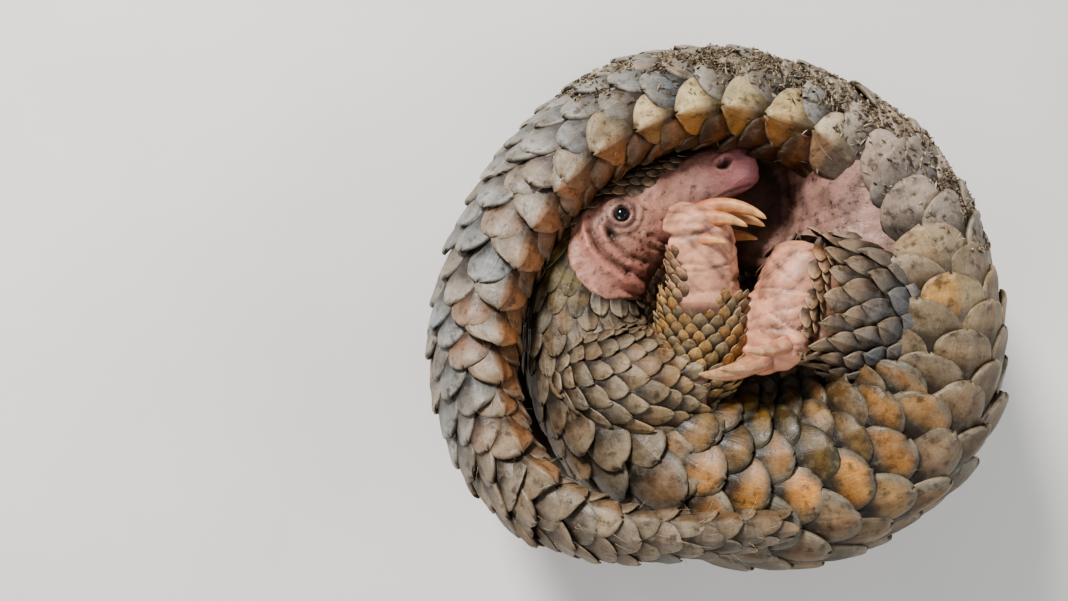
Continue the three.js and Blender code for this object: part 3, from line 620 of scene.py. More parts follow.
# How much of a foot's length its scales cover, and how far they reach round to the palm.
FOOT_COAT = {"forefoot": (0.45, -3.0), "hindfoot": (0.8, 4.0)}
foot_zone = np.zeros(len(co))
foot_back = np.zeros(len(co))
for foot_name, foot in FEET.items():
    origin, toes, palm, across = foot_frame(foot)
    length = foot["body"][-1][0]
    covered, reach = FOOT_COAT[foot_name]
    for mirror, _ in SIDES:
        q = mirrored(co, mirror)
        x, y, z = ((q - origin) @ direction for direction in (toes, across, palm))
        inside = (x > -7) & (x < length + 12) & (np.abs(y) < 26) & (np.abs(z) < 24) & (off_body > 3)
        soft = np.clip((x + 7) / 7, 0, 1) * inside
        foot_zone = np.maximum(foot_zone, soft)
        rear = np.clip((covered * length - x) / 6, 0, 1)
        foot_back = np.maximum(foot_back, inside * np.clip((reach - z) / 3, 0, 1) * rear)
        # Fine wrinkles across, with deeper ones where the foot bends, and painted shade in them.
        crinkle = np.sin(x * 0.5 + 0.4 * waves(q, 40, 7, 1) + y * 0.06) ** 2
        bends = soft * (0.06 + 0.4 * bell(x - length * 0.86, 6) + 0.25 * bell(x - 2, 5))
        push += bends * (crinkle - 0.6)
        dark += bends * 0.55 * bell(crinkle, 0.3)
        # A few deep creases run slantwise across the foot, broken here and there, with painted shade in
        # them.
        wander = 2.5 * waves(q, 34, 12, 1)
        for k, (place, slope) in enumerate(FOOT_CREASES):
            d = x + slope * y + wander - place * length
            broken = np.clip(0.7 + 0.9 * waves(q, 34, 20 + k, 1), 0.1, 1) * soft
            push += broken * (0.35 * bell(d - 1.8, 1.3) - 0.75 * bell(d, 0.75))
            dark += 0.32 * broken * bell(d, 0.75)
        pad = 0.8 * bell(x - length * 0.66, 10) + 0.7 * bell(x - length * 0.22, 10)
        push += soft * pad * bell(y, 11) * (z > 2)
        pink += soft * 0.35 * (z > 0) * (0.5 + 0.5 * bell(x - length, 14))
push += (0.2 - 0.17 * foot_zone) * waves(co, 5, 9)
push += 1.7 * bell(skin_s - 3, 9) * on_head

# Under the coat the skin lies lower by degrees, and at the cheek a fold covers the coat's edge.
near_body = (off_body < 3) & (foot_zone < 0.1)
push -= 1.1 * np.clip(depth / 3, 0, 1) * near_body
at_cheek = near_body * (side_share > 0.1) * ramp(-skin_s, -112, 3)
push += 1.5 * bell(depth + 0.5, 2.4) * at_cheek * uneven
plate_depth = (curve(PLATES, skin_s) - side_share) * 200
push -= 0.5 * np.clip((plate_depth + 2) / 2, 0, 1) * on_head
in_crease = distance_to_line(co, np.array(CREASE["path"], float)) < CREASE["reach"] + 2.5
co = co + no * np.clip(push, -4.5, 4.0)[:, None]
skin.data.vertices.foreach_set("co", above_floor(co).ravel())
skin.data.update()


def paint(obj, name, values):
    layer = obj.data.attributes.new(name, "FLOAT", "POINT")
    layer.data.foreach_set("value", np.ascontiguousarray(values, dtype=np.float32))


def paint_tint(obj, values):
    layer = obj.data.attributes.new("tint", "FLOAT_COLOR", "POINT")
    full = np.ones((len(values), 4), dtype=np.float32)
    full[:, :3] = values
    layer.data.foreach_set("color", full.ravel())


def srgb(r, g, b):
    c = np.array([r, g, b], float) / 255
    return np.where(c <= 0.04045, c / 12.92, ((c + 0.055) / 1.055) ** 2.4)


def blend(a, b, t):
    t = np.clip(t, 0, 1)[:, None]
    return a * (1 - t) + b * t


# Skin colours: mauve nose, pink cheeks and throat, peach soles, grey-pink belly with dirt, painted shade in
# folds.
forehead = on_head & (side_share < curve(PLATES, skin_s) - 0.006)
patches = waves(co, 13, 31)
# Dirt patches laid over the painted shade of the lids, creases and hollows.
dirt_and_shade = dark + belly * 0.5 * np.clip(patches + 0.35, 0, 1) + 0.1 * np.clip(patches, 0, 1) * (1 - foot_zone)
dirt_and_shade = dirt_and_shade + (on_head & (skin_s > 24)) * 0.34 * np.clip(waves(co, 7, 33) + 0.15, 0, 1)
# Painted shade: the crease between tail and neck is made fully dark.
dirt_and_shade = np.clip(np.where(in_crease & (foot_zone < 0.1), 1.0, dirt_and_shade), 0, 1)
colour = np.tile(srgb(196, 146, 128), (len(co), 1))
for share, tone in [
        (0.35 + 0.25 * waves(co, 26, 21), (172, 128, 112)),
        (on_head * 0.85, (172, 130, 116)),
        (on_head * 0.95 * bell(skin_s, 18), (190, 132, 136)),
        (on_head * 0.6 * bell(skin_s - 28, 12), (158, 124, 116)),
        (forehead * 0.85, (132, 112, 92)),
        (belly * 0.9, (160, 130, 120)),
        # Painted shade: dark brown on the skin off the body, under the leg scales and in the folds.
        (0.85 * (off_body >= 4) * (foot_zone < 0.5), (92, 66, 52)),
        (foot_zone * 0.95, (214, 160, 132)),
        # Painted shade on the backs of the feet, under their scales.
        (foot_back * 0.85, (104, 74, 58)),
        # Painted shade on the skin under the body's scales, near black where the coat is deep.
        (0.92 * np.clip(depth / 2, 0, 1) * near_body, (46, 36, 29)),
        (pink * 0.45, (200, 134, 120)),
        (dirt_and_shade * 0.9, (52, 38, 30))]:
    colour = blend(colour, srgb(*tone), share)
paint_tint(skin, colour)
paint(skin, "dirt_and_shade", dirt_and_shade)
paint(skin, "plates", forehead)
paint(skin, "sole", foot_zone)


# Shape of one scale over (across, along), each with its height, as a grid of corners.
ACROSS = np.array([-1, -0.93, -0.78, -0.55, -0.3, -0.12, 0, 0.12, 0.3, 0.55, 0.78, 0.93, 1])
LENGTHWISE = np.array([0, 0.12, 0.26, 0.4, 0.54, 0.66, 0.77, 0.86, 0.93, 0.975, 1.0])
NU = len(ACROSS)
NV = len(LENGTHWISE)
GRID = NU * NV
# The corners on the grid's sides and tip, from root to root.
RIM = [i * NU for i in range(NV)] + [(NV - 1) * NU + i for i in range(1, NU)]
RIM = np.array(RIM + [i * NU + NU - 1 for i in range(NV - 2, -1, -1)])
QUADS = []
for i in range(NV - 1):
    for a in range(i * NU, i * NU + NU - 1):
        QUADS.append((a, a + 1, a + NU + 1, a + NU))
for k in range(len(RIM) - 1):
    a = GRID + k
    b = a + len(RIM)
    QUADS += [(RIM[k], RIM[k + 1], a + 1, a), (a, a + 1, b + 1, b)]
QUADS = np.array(QUADS)
# A scale begins this far before its place, in rows, and runs over this many.
ROOT, REACH = -1.27, 2.5
COAT = []


# Half width of a scale at each place along it: a high round_tip keeps it broad to near the tip.
def outline(v, round_tip):
    start = 0.42
    root = 0.7 + 0.3 * np.sin(np.clip(v / start, 0, 1) * np.pi / 2)
    q = np.clip((v - start) / (1 - start), 0, 1)
    return np.where(v < start, root, np.maximum((1 - q**2.1) ** (1 / round_tip), 0.07))


# A mesh of the same four-cornered faces for each of many scales.
def coat_mesh(name, points, quads):
    count, per, _ = points.shape
    corners = above_floor(points.reshape(-1, 3))
    faces = (quads[None] + (np.arange(count) * per)[:, None, None]).reshape(-1, 4)
    mesh = bpy.data.meshes.new(name)
    mesh.vertices.add(len(corners))
    mesh.vertices.foreach_set("co", corners.ravel())
    mesh.loops.add(len(faces) * 4)
    mesh.loops.foreach_set("vertex_index", faces.ravel().astype(np.int32))
    mesh.polygons.add(len(faces))
    mesh.polygons.foreach_set("loop_start", np.arange(len(faces), dtype=np.int32) * 4)
    mesh.polygons.foreach_set("use_smooth", np.ones(len(faces), dtype=bool))
    mesh.update(calc_edges=True)
    return linked(name, mesh), faces.ravel()


def add_map(mesh, name, uv):
    layer = mesh.uv_layers.new(name=name)
    layer.data.foreach_set("uv", uv.astype(np.float32).ravel())
    return layer


# Many scales as one piece. The places are two functions of row, file and height: on the body and
# on the unwrap. The tones are root, tip and edge, and for a keeled scale those of its other face.
def add_scales(name, rows, files, places, tones, size, lift, keel, dome, round_tip, thickness=0.8, droop=0.0,
               width=1.13, tilts=0.35, grime_and_shade=0.24, rim=0.3, ringed=False):
    place, uv_place = places
    base_colour, tip_colour, edge_colour, *other_face = tones
    n = len(rows)
    u, v = (grid.ravel() for grid in np.meshgrid(ACROSS, LENGTHWISE))
    jitter = rng.normal(size=(n, 6))
    wobble = rng.uniform(0, 6.28, size=(n, 4))
    long = size[:, None] * (1 + 0.05 * jitter[:, 0:1])
    wide = size[:, None] * (1 + 0.04 * jitter[:, 1:2])
    chip = 0.02 * np.sin(u * 5 + wobble[:, 0:1]) + 0.016 * np.sin(u * 11 + wobble[:, 1:2])
    worn = v * (1 + chip * v**3)
    across = u * outline(v, round_tip)
    r = rows[:, None] + (worn * REACH + ROOT) * long
    f = files[:, None] + across * width * wide + 0.10 * jitter[:, 2:3] * (v - 0.35)
    rise = lift[:, None] * (1 + 0.16 * jitter[:, 3:4])
    h = -1.0 + rise * (v**1.05) - droop * v**4
    h = h + dome * (1 - np.abs(across) ** 2.2) * (0.45 + 0.55 * v)
    h = h + keel * np.exp(-((u / 0.2) ** 2)) * (0.35 + 0.65 * v) * (1 - 0.6 * v**6)
    h = h + 0.16 * np.sin(v * 17 + wobble[:, 2:3]) * (1 - u**2) * (0.3 + v)
    h = h + tilts * jitter[:, 4:5] * across
    edge = (np.abs(u) > 0.99) | (v > 0.99)
    near_edge = (np.abs(u) > 0.9) | (v > 0.96)
    h = h - thickness * np.where(edge, 0.55, np.where(near_edge, 0.1, 0))
    # The rim goes down from the edge, then in below the scale.
    under = place(r[:, RIM], f[:, RIM], h[:, RIM] - thickness * 0.6)
    inner = place(rows[:, None] + (worn[:, RIM] * 0.86 * REACH + ROOT) * long,
                  files[:, None] + across[RIM] * width * wide * 0.72,
                  h[:, RIM] - thickness * 0.9 - 0.1 * rise * v[RIM])
    points = np.concatenate([place(r, f, h), under, inner], axis=1)
    # Winding so that the top faces out, whichever way the surface's own directions run.
    a, b, c = points[0, 0], points[0, NU - 1], points[0, NU * (NV - 3)]
    up, down = (place(rows[:1, None], files[:1, None], np.array([[height]]))[0, 0] for height in (5.0, 0.0))
    flip = np.cross(b - a, c - a).dot(up - down) < 0
    obj, corner = coat_mesh(name, points, QUADS[:, ::-1] if flip else QUADS)
    # Colours: root to tip, a worn edge, and a face each side of the keel where asked.
    all_v = np.concatenate([v, v[RIM], v[RIM] * 0.86])
    all_u = np.concatenate([u, u[RIM], u[RIM] * 0.72])
    is_edge = np.concatenate([near_edge, np.ones(2 * len(RIM), bool)])
    if ringed:
        waver = 0.14 * np.sin(5 * all_u + 4 * all_v + wobble[:, 3:4])
        along = (np.hypot(all_u * 1.05, (all_v - 0.68) / 0.34) + waver - 0.5)[:, :, None] / 0.38
    else:
        along = ((all_v - 0.5) / 0.42)[None, :, None]
    along = np.clip(along, 0, 1)
    shade = base_colour[:, None, :] * (1 - along) + tip_colour[:, None, :] * along
    for second in other_face:
        face = 1 / (1 + np.exp(-all_u * 14))[None, :, None]
        shade = shade * (1 - face) + second[:, None, :] * face
    edge_share = (0.5 * is_edge * (all_v > 0.5))[None, :, None]
    shade = shade * (1 - edge_share) + edge_colour[:, None, :] * edge_share
    # Dirt and painted shade darken the root, under the scales that overlap it; the rim's sides get painted
    # shade.
    clean_and_lit = np.clip((all_v - 0.34) / 0.34, 0, 1)
    clean_and_lit = grime_and_shade + (1 - grime_and_shade) * clean_and_lit * clean_and_lit * (3 - 2 * clean_and_lit)
    shade = shade * (np.where(np.arange(len(all_v)) >= GRID, rim, 1) * clean_and_lit)[None, :, None]
    paint_tint(obj, shade.reshape(-1, 3))
    # Two maps: grain runs along each scale in units of its size, OFBake is a small patch at its root.
    local = corner % len(all_v)
    which = corner // len(all_v)
    shift = rng.uniform(0, 40, size=(n, 2))
    grain = np.stack([all_u[local] * wide[which, 0], all_v[local]], axis=1)
    add_map(obj.data, "grain", grain + shift[which])
    patch = 0.0015 * np.stack([all_u[local], all_v[local] * 2 - 1], axis=1)
    obj.data.uv_layers.active = add_map(obj.data, "OFBake", uv_place(rows, files)[which] + patch)
    COAT.append(obj)


def jitter_colour(colours, amount):
    n = len(colours)
    light = 1 + amount * rng.normal(size=(n, 1))
    warm = 1 + amount * 0.5 * rng.normal(size=(n, 1)) * np.array([[1, 0.1, -0.9]])
    return np.clip(colours * np.clip(light, 0.45, 1.7) * warm, 0.004, 0.95)


def jittered(colours, *amounts):
    return [jitter_colour(colour, amount) for colour, amount in zip(colours, amounts)]


# Several colours for each scale, laid over by the same number of others by a share of their own.
def layered(n, first, layers=()):
    colours = [np.tile(srgb(*tone), (n, 1)) for tone in first]
    for share, *tones in layers:
        for k, tone in enumerate(tones):
            if tone:
                colours[k] = blend(colours[k], srgb(*tone), share)
    return colours


def edge_of(tip):
    return tip * 0.75 + srgb(160, 146, 120) * 0.25


# Places of the lattice where a scale is centred: every other one, in rows that step by half.
def lattice(row_count, file_count):
    places = [(r, j) for r in range(row_count) for j in range(file_count) if (r + j) % 2]
    return np.array(places, float).T


# The same on the body, with the places along it and the shares of the girth.
def body_lattice(start, stop, row, file_count):
    rows, files = lattice(int((stop - start) / row) + 1, file_count)
    share = files / file_count
    return rows, files, start + rows * row, np.where(share > 0.5, share - 1, share)


def pick(keep, *arrays):
    return [a[keep] for a in arrays]


# Closed forms that scales stay out of.
def as_bvh(form):
    return BVHTree.FromPolygons([Vector(p) for p in form[0]], form[1])


body_bvh = as_bvh(tube([skin_point(np.full(40, s), turns(40)) for s in np.arange(0, TOTAL, 5)]))
limb_bvhs = [as_bvh(form) for mirror, _ in SIDES for form in limb_forms(mirror, 32, 14, 24)]


# Whether a point lies deep inside a closed form, by a ray that counts its walls.
def inside_form(bvh, p, depth):
    p = Vector(p)
    nearest = bvh.find_nearest(p)[3]
    direction = Vector((0.31, 0.17, 0.93)).normalized()
    count = 0
    found = bvh.ray_cast(p, direction)[0]
    while found is not None and count < 12:
        count += 1
        found = bvh.ray_cast(found + direction * 0.01, direction)[0]
    return count % 2 == 1 and nearest > depth


def outside_all(points, bvhs, depth):
    return np.array([not any(inside_form(b, p, depth) for b in bvhs) for p in points])


# Places on the coat's unwrap: the body fills its lower part and the legs lie in boxes above it.
def body_uv(s, share):
    wrapped = (share + 0.5) % 1.0 - 0.5
    return np.stack([0.02 + 0.96 * s / TOTAL, 0.3 + 0.54 * wrapped], axis=1)


def box_uv(index, a, b):
    return np.stack([0.02 + 0.12 * index + 0.1 * np.clip(a, 0, 1), 0.65 + 0.3 * (b % 1.0)], axis=1)


# The two place functions for a stretch of the body that starts at a place along it.
def body_places(start, row, file_count):
    def place(r, f, h):
        along = start + r * row
        s = np.clip(along, 0.5, TOTAL)
        return body_point(s, f / file_count, h) + sections(s)[1] * np.maximum(along - TOTAL, 0)[..., None]

    return place, lambda r, f: body_uv(start + r * row, f / file_count)


# Colours of the body's scales by place, as the middle and the tip of the face that shows.
def body_colours(s, share):
    n = len(s)
    side = np.abs(share)
    flank = ramp(side, 0.2, 0.03) * bell(s - place_of("middle") - 18, 92)
    amber = (rng.random(n) < 0.5) * flank
    wet = (rng.random(n) < 0.85) * ramp(side, 0.28, 0.006) * bell(s - 240, 66)
    ridge = bell(side, 0.14) * (s > place_of("chest")) * (s < place_of("croup"))
    hip = bell(s - 372, 40) * (side > 0.06) * (side < 0.34)
    tail = ramp(s, place_of("root") + 10, 12)
    caked = bell(side - 0.06, 0.1) * bell(s - 500, 88)
    inner = tail * (side > 0.3)
    brown = tail * ramp(s, place_of("tail_d") + 10, 20) * ramp(side, 0.14, 0.02) * (rng.random(n) < 0.7)
    end = ramp(s, place_of("tail_g") + 12, 12)
    return layered(n, [(102, 92, 80), (130, 121, 107)], [
        # Neck and shoulder: taupe-grey, with olive scales behind the ear.
        (bell(s - place_of("shoulder"), 48), (98, 85, 71), (136, 123, 104)),
        (bell(s - 94, 12) * (side < 0.27), (122, 104, 52), (92, 84, 62)),
        # Flank near the belly: amber faces with grey-brown tips, and wet olive ones by the skin.
        (flank * 0.95, (132, 98, 56), (90, 80, 64)),
        (amber * 0.9, (178, 130, 72)),
        (wet * 0.95, (84, 66, 20), (50, 46, 28)),
        # Back: grey-brown with dust.
        (ridge, (108, 94, 76), (132, 118, 98)),
        # Hip and rump: broad tan scales that turn grey and pinkish.
        (hip * 0.8, (126, 108, 80), (136, 120, 96)),
        (bell(s - 428, 30) * (side < 0.36) * 0.9, (146, 128, 116), (164, 148, 137)),
        # Tail: blue-grey outside, orange-brown inside, paler and drier towards its end.
        (tail * (side < 0.2), (98, 97, 96), (140, 138, 133)),
        (caked * 0.85, (84, 72, 58)),
        (caked * 0.6, None, (128, 114, 94)),
        (inner, (138, 90, 50), (112, 84, 58)),
        (inner * bell(s - 510, 42), (104, 68, 30), (66, 50, 34)),
        (brown * 0.85, (146, 104, 74), (136, 110, 88)),
        (end * 0.85, (94, 80, 64), (134, 118, 98))])


# The two faces of a marginal scale: cream and amber on the upper tail, grey on the rump.
def margin_colours(s):
    return layered(len(s), [(196, 180, 142), (160, 114, 58)], [
        ((s - 560) / 60, (136, 124, 108), (152, 106, 70)),
        (ramp(472 - s, 0, 8), (172, 156, 143), (166, 146, 132)),
        (ramp(404 - s, 0, 8), (166, 146, 108), (160, 134, 92)),
        (ramp(s - 800, 0, 10), (140, 124, 102), (118, 94, 70))])


# Zones of the coat: where they start and end, files, row and the file of the marginal scales.
ZONE_LIST = [
    ("scales_nape", 86, 121, 36, 6.4, None),
    ("scales_neck", 117, 152, 30, 8.0, None),
    ("scales_shoulder", 146, 196, 26, 10.0, None),
    ("scales_flank", 190, 331, 24, 11.5, None),
    ("scales_rump", 326, 447, 24, 12.0, 5),
    ("scales_tail_broad", 438, 632, 16, 12.0, 4),
    ("scales_tail_mid", 624, 808, 12, 11.5, 3),
    ("scales_tail_tip", 802, 931, 8, 8.5, 2),
]
# Forms of scales: the tiny ones, the bulging ones of the flank and all others.
SMALL = {"dome": 0.6, "thickness": 0.8, "tilts": 0.25, "droop": 0.5, "width": 1.08}
COBBLED = {"dome": 3.3, "thickness": 2.2, "tilts": 0.75, "droop": 2.4, "width": 0.98, "grime_and_shade": 0.14,
           "ringed": True}
BROAD = {"dome": 1.7, "thickness": 2.2, "tilts": 0.75, "droop": 0.5, "width": 1.08}
for name, start, stop, file_count, row, margin_file in ZONE_LIST:
    rows, files, s, share = body_lattice(start, stop, row, file_count)
    keep = (s < TOTAL - 3) & (coat_depth(s, share) > 0)
    rows, files, s, share = pick(keep, rows, files, s, share)
    tips = body_point(np.minimum(s + row * 0.3, TOTAL), share, 1.5)
    rows, files, s, share = pick(outside_all(tips, limb_bvhs, 2.5), rows, files, s, share)
    n = len(rows)
    middle, tip = body_colours(s, share)
    edge = edge_of(tip)
    margin = np.zeros(n, bool)
    if margin_file:
        margin = (np.abs(np.abs(share) * file_count - margin_file) < 0.6) & (s > 362)
    upper, lower = jittered(margin_colours(s), 0.1, 0.13)
    middle, tip = jittered((middle, tip), 0.2, 0.17)
    near_tip = np.clip((s - place_of("tail_h")) / 60, 0, 1)
    size = np.where(margin, 1.07, 1.0) + 0.035 * rng.normal(size=n)
    in_tail = ramp(s, 470, 8) * (1 - near_tip)
    lift = np.where(margin, 5.8 + 1.2 * in_tail, 5.4) * (1 - 0.5 * near_tip)
    lift = lift * np.clip(0.55 + (s - 100) / 160, 0.55, 1.0)
    form = BROAD
    if name == "scales_flank":
        form = COBBLED
        lift = lift * 1.2
    elif file_count > 28 or file_count < 10:
        form = SMALL
    places = body_places(start, row, file_count)
    add_scales(name, *pick(~margin, rows, files), places, pick(~margin, middle, tip, edge),
               *pick(~margin, size, lift), keel=0.9, round_tip=2.2, **form)
    if margin.any():
        right = share[:, None] > 0
        pale = np.where(right, upper, lower)
        warm = np.where(right, lower, upper)
        on_tail = name != "scales_rump"
        add_scales(name + "_margin", *pick(margin, rows, files), places,
                   pick(margin, pale, pale * 0.9, edge, warm), *pick(margin, size, lift),
                   keel=4.2 if on_tail and form is BROAD else 0.9, round_tip=1.5 if on_tail else 2.2, **form)

# Leg scales, small pointed lozenges with a low keel: files, row and how far past the end they go.
LEG_COAT = {"foreleg": [(28, 5.6, 6), (36, 3.9, 1)], "hindleg": [(32, 8.4, 1)]}
# The bare inner side of each leg: its direction, and the share above which a scale faces it.
BARE_SIDE = {"foreleg": ((0.9, 0.3, -0.2), 0.85), "hindleg": ((-0.85, 0.5, 0.0), 0.62)}


# The two place functions round a leg or foot, from its own point function. The box on the unwrap is
# its number, where it starts and how far it goes for each millimetre.
def round_places(point, form, mirror, first, row, file_count, box):
    def place(r, f, h):
        return point(form, first + r * row, f / file_count * 2 * np.pi, h, mirror)

    return place, lambda r, f: box_uv(box[0], box[1] + box[2] * r * row, f / file_count)


box = 0
for mirror, word in SIDES:
    for leg, parts in LIMBS.items():
        towards, limit = BARE_SIDE[leg]
        for k, limb in enumerate(parts):
            file_count, row, past = LEG_COAT[leg][k]
            length = limb["length"][-1]
            rows, files = lattice(int((length + past) / row) + 1, file_count)
            places = round_places(limb_point, limb, mirror, 0, row, file_count, (box, 0, 1 / length))
            free = outside_all(places[0](rows, files, 0.4), [body_bvh] + limb_bvhs, 1.2)
            angle = files / file_count * 2 * np.pi
            skin_here, deep = (limb_point(limb, rows * row, angle, height, 1) for height in (0.0, -12.0))
            facing = unit(skin_here - deep) @ unit(np.array(towards))
            rows, files = pick(free & (facing <= limit), rows, files)
            along = rows * row
            n = len(rows)
            if leg == "hindleg":
                root, tip = jittered(layered(n, [(70, 70, 74), (112, 108, 103)]), 0.2, 0.2)
                pale = np.clip((along - 50) / 22, 0, 1)
                root = blend(root, srgb(138, 116, 96), pale * 0.7)
                tip = blend(tip, srgb(160, 138, 112), pale)
                lift = 3.0
                form = {"keel": 0.8, "dome": 1.5, "round_tip": 1.15, "width": 0.98}
            else:
                tan = rng.random(n) < 0.45
                grey = (1.2 - along / 60) * (k == 0)
                tones = layered(n, [(104, 84, 56), (150, 132, 102)], [
                    (tan, (142, 102, 54), (168, 136, 88)), (grey, (98, 86, 72), (138, 124, 104))])
                root, tip = jittered(tones, 0.17, 0.15)
                lift = 2.2
                form = {"keel": 0.3, "dome": 1.1, "round_tip": 1.5, "width": 1.0}
            name = "scales_%s_%s_%d" % (leg, word, k + 1)
            add_scales(name, rows, files, places, (root, tip, edge_of(tip)), 1 + 0.04 * rng.normal(size=n),
                       np.full(n, lift), grime_and_shade=0.15, **form)
            box += 1


# A point on a foot: distance along, angle round it where a quarter turn is its back, and height.
def foot_point(foot, x, angle, grow, mirror):
    origin, toes, palm, across = foot_frame(foot)
    at, wide, thick = np.array(foot["body"], float).T
    x, angle, grow = np.broadcast_arrays(np.asarray(x, float), angle, grow)
    p = origin + toes * x[..., None]
    p = p + across * ((np.interp(x, at, wide) + grow) * np.cos(angle))[..., None]
    p = p - palm * ((np.interp(x, at, thick) + grow) * np.sin(angle))[..., None]
    return mirrored(p, mirror)


# Scales on the feet: files, row, share of the foot that has them and how low they go at its sides.
FOOT_SCALES = {"forefoot": (30, 3.4, 0.5, 0.1), "hindfoot": (26, 4.4, 0.84, -0.47)}
for mirror, word in SIDES:
    for foot_name, foot in FEET.items():
        file_count, row, reach, low = FOOT_SCALES[foot_name]
        length = foot["body"][-1][0] * reach
        rows, files = lattice(int(length / row) + 1, file_count)
        places = round_places(foot_point, foot, mirror, -1, row, file_count, (box % 8, 0.5, 0.4 / 60))
        on_back = np.sin(files / file_count * 2 * np.pi) > low + 0.3 * ((rows * row - 1) / length) ** 3
        rows, files = pick(on_back & outside_all(places[0](rows, files, 0.5), [body_bvh], 1.0), rows, files)
        n = len(rows)
        root, tip = jittered(layered(n, [(146, 112, 88), (182, 152, 122)]), 0.14, 0.12)
        add_scales("scales_%s_%s" % (foot_name, word), rows, files, places, (root, tip, tip * 0.9),
                   1 + 0.05 * rng.normal(size=n), np.full(n, 2.3), keel=0.2, dome=0.9, round_tip=1.7,
                   thickness=0.5, width=1.02)
        box += 1

# Head scales: small flat plates from the crown to near the nose.
HEAD_START, HEAD_ROW, HEAD_FILES = 14.0, 4.0, 32
rows, files, s, share = body_lattice(HEAD_START, place_of("nape") - 2, HEAD_ROW, HEAD_FILES)
keep = (np.abs(share) < curve(PLATES, s) - 0.008) & (coat_depth(s - 4, share) <= 0)
rows, files, s = pick(keep, rows, files, s)
n = len(rows)
growth = np.clip((s - 20) / 80, 0, 1)
root, tip = jittered(layered(n, [(136, 116, 96), (168, 148, 124)]), 0.12, 0.1)
add_scales("scales_head", rows, files, body_places(HEAD_START, HEAD_ROW, HEAD_FILES), (root, tip, tip * 0.8),
           (0.75 + 0.35 * growth) * (1 + 0.06 * rng.normal(size=n)), 1.5 + 0.7 * growth, keel=0.03, dome=0.3,
           round_tip=2.2, thickness=0.35, width=1.06, tilts=0.1, grime_and_shade=0.4, rim=0.5)

# Claws: curved horn, fleshy at the root and paler at the worn tip.
CLAW_STEPS, CLAW_SIDES = 26, 20
CLAW_TONES = {"forefoot": ((204, 122, 88), (218, 170, 118)), "hindfoot": ((208, 146, 120), (222, 182, 142))}
claw_objects = []
for mirror, word in SIDES:
    for foot_name, foot in FEET.items():
        parts, shares, streaks = [], [], []
        for digit in foot["digits"]:
            line, across, _, _ = claw_line(foot, digit, CLAW_STEPS)
            t = np.linspace(0, 1, len(line))
            blunt = np.maximum(np.sqrt(1 - (np.clip(t - 0.93, 0, 0.07) / 0.07) ** 2), 0.12)
            points = [(c, half * 0.82 * end, half * end) for (c, half), end in zip(line, blunt)]
            corners, faces = tube(rod(points, across, CLAW_SIDES))
            parts.append((mirrored(corners, mirror), faces))
            shares += [*np.repeat(t, CLAW_SIDES), 0.0, 1.0]
            k = np.arange(CLAW_SIDES)
            streak = 0.86 + 0.16 * np.sin(k * 2.2 + len(parts)) * np.sin(k * 0.9)
            streaks += [*np.tile(streak, len(t)), 1.0, 1.0]
        corners, faces = joined(parts)
        claws = mesh_object("claws_%s_%s" % (foot_name, word), corners, faces)
        t = np.array(shares)
        # Each claw is painted darker at its root, where it leaves the flesh, as shade.
        light = (0.88 + 0.18 * waves(corners, 7, 41)) * (1 - 0.45 * bell(t, 0.1)) * np.array(streaks)
        fleshy, pale = (srgb(*tone) for tone in CLAW_TONES[foot_name])
        paint_tint(claws, blend(fleshy, pale, t * 1.15) * light[:, None])
        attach(claws, "root")
        prefix = foot_name.replace("foot", "claw")
        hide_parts(*["%s_%s_%d" % (prefix, word, i) for i in range(1, 6)])
        claw_objects.append(claws)

# Eyes: wet dark balls in the lids, with a thin grey-blue ring.
eyes = []
for side, word in SIDES:
    point, normal, _ = eye_frame(side)
    centre = world(point - normal * EYE["sunk"])
    eye_mesh = bpy.data.meshes.new("eye_ball_" + word)
    ball = bmesh.new()
    bmesh.ops.create_uvsphere(ball, u_segments=40, v_segments=24, radius=EYE["radius"] * 0.001)
    bmesh.ops.translate(ball, verts=ball.verts, vec=Vector(centre))
    ball.to_mesh(eye_mesh)
    ball.free()
    eye_mesh.polygons.foreach_set("use_smooth", [True] * len(eye_mesh.polygons))
    eye = linked("eye_ball_" + word, eye_mesh)
    facing = unit(np.array([v.co for v in eye_mesh.vertices]) - centre) @ unit(normal)
    paint_tint(eye, blend(srgb(14, 12, 13), srgb(56, 63, 73), bell(facing - 0.72, 0.07)))
    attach(eye, "root")
    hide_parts("eye_" + word)
    eyes.append(eye)


# A bake map with a small patch for each of many loose forms, at its root's place on the body.
def patch_uv(obj, s, share, period):
    at = np.repeat(body_uv(s, share), len(obj.data.vertices) // len(s), axis=0)
    k = np.arange(len(at))
    at = at + 0.0014 * (k % period / (period - 1) * 2 - 1)[:, None] * np.array([[1, 0.4]])
    at[:, 1] += 0.0008 * (k % 2)
    which = np.empty(len(obj.data.loops), np.int32)
    obj.data.loops.foreach_get("vertex_index", which)
    add_map(obj.data, "OFBake", at[which])


# Dry litter caked between the scales of the outer tail: slivers that lie on what is below them.
LITTER = {"from": 396, "to": 600, "count": 13000, "patch": 26, "height": 9.0, "reach": 14.0}
LITTER_LINE = [(396, 0.07), (452, 0.12), (499, 0.13), (545, 0.09), (596, 0.02)]
LITTER_TONES = [(122, 108, 88), (88, 74, 60), (164, 150, 126), (46, 38, 32)]
LITTER_SHARES = [0.36, 0.24, 0.28, 0.12]
SLIVER = [(0, 1, 4), (1, 2, 4), (2, 3, 4), (3, 0, 4), (1, 0, 5), (2, 1, 5), (3, 2, 5), (0, 3, 5)]
parts = []
for obj in COAT:
    if obj.name.startswith(("scales_rump", "scales_tail_broad")):
        corners = read(obj.data.vertices, "co") * 1000 - SHIFT
        parts.append((corners, [tuple(p.vertices) for p in obj.data.polygons]))
litter_bvh = as_bvh(joined(parts))
litter_s = rng.uniform(LITTER["from"], LITTER["to"], LITTER["count"])
litter_share = curve(LITTER_LINE, litter_s) + 0.06 * rng.normal(size=LITTER["count"])
origins = body_point(litter_s, litter_share, LITTER["height"])
normals = unit(origins - body_point(litter_s, litter_share, 0.0))
thick_here = waves(origins, LITTER["patch"], 51) + 0.25
kept, parts, tints = [], [], []
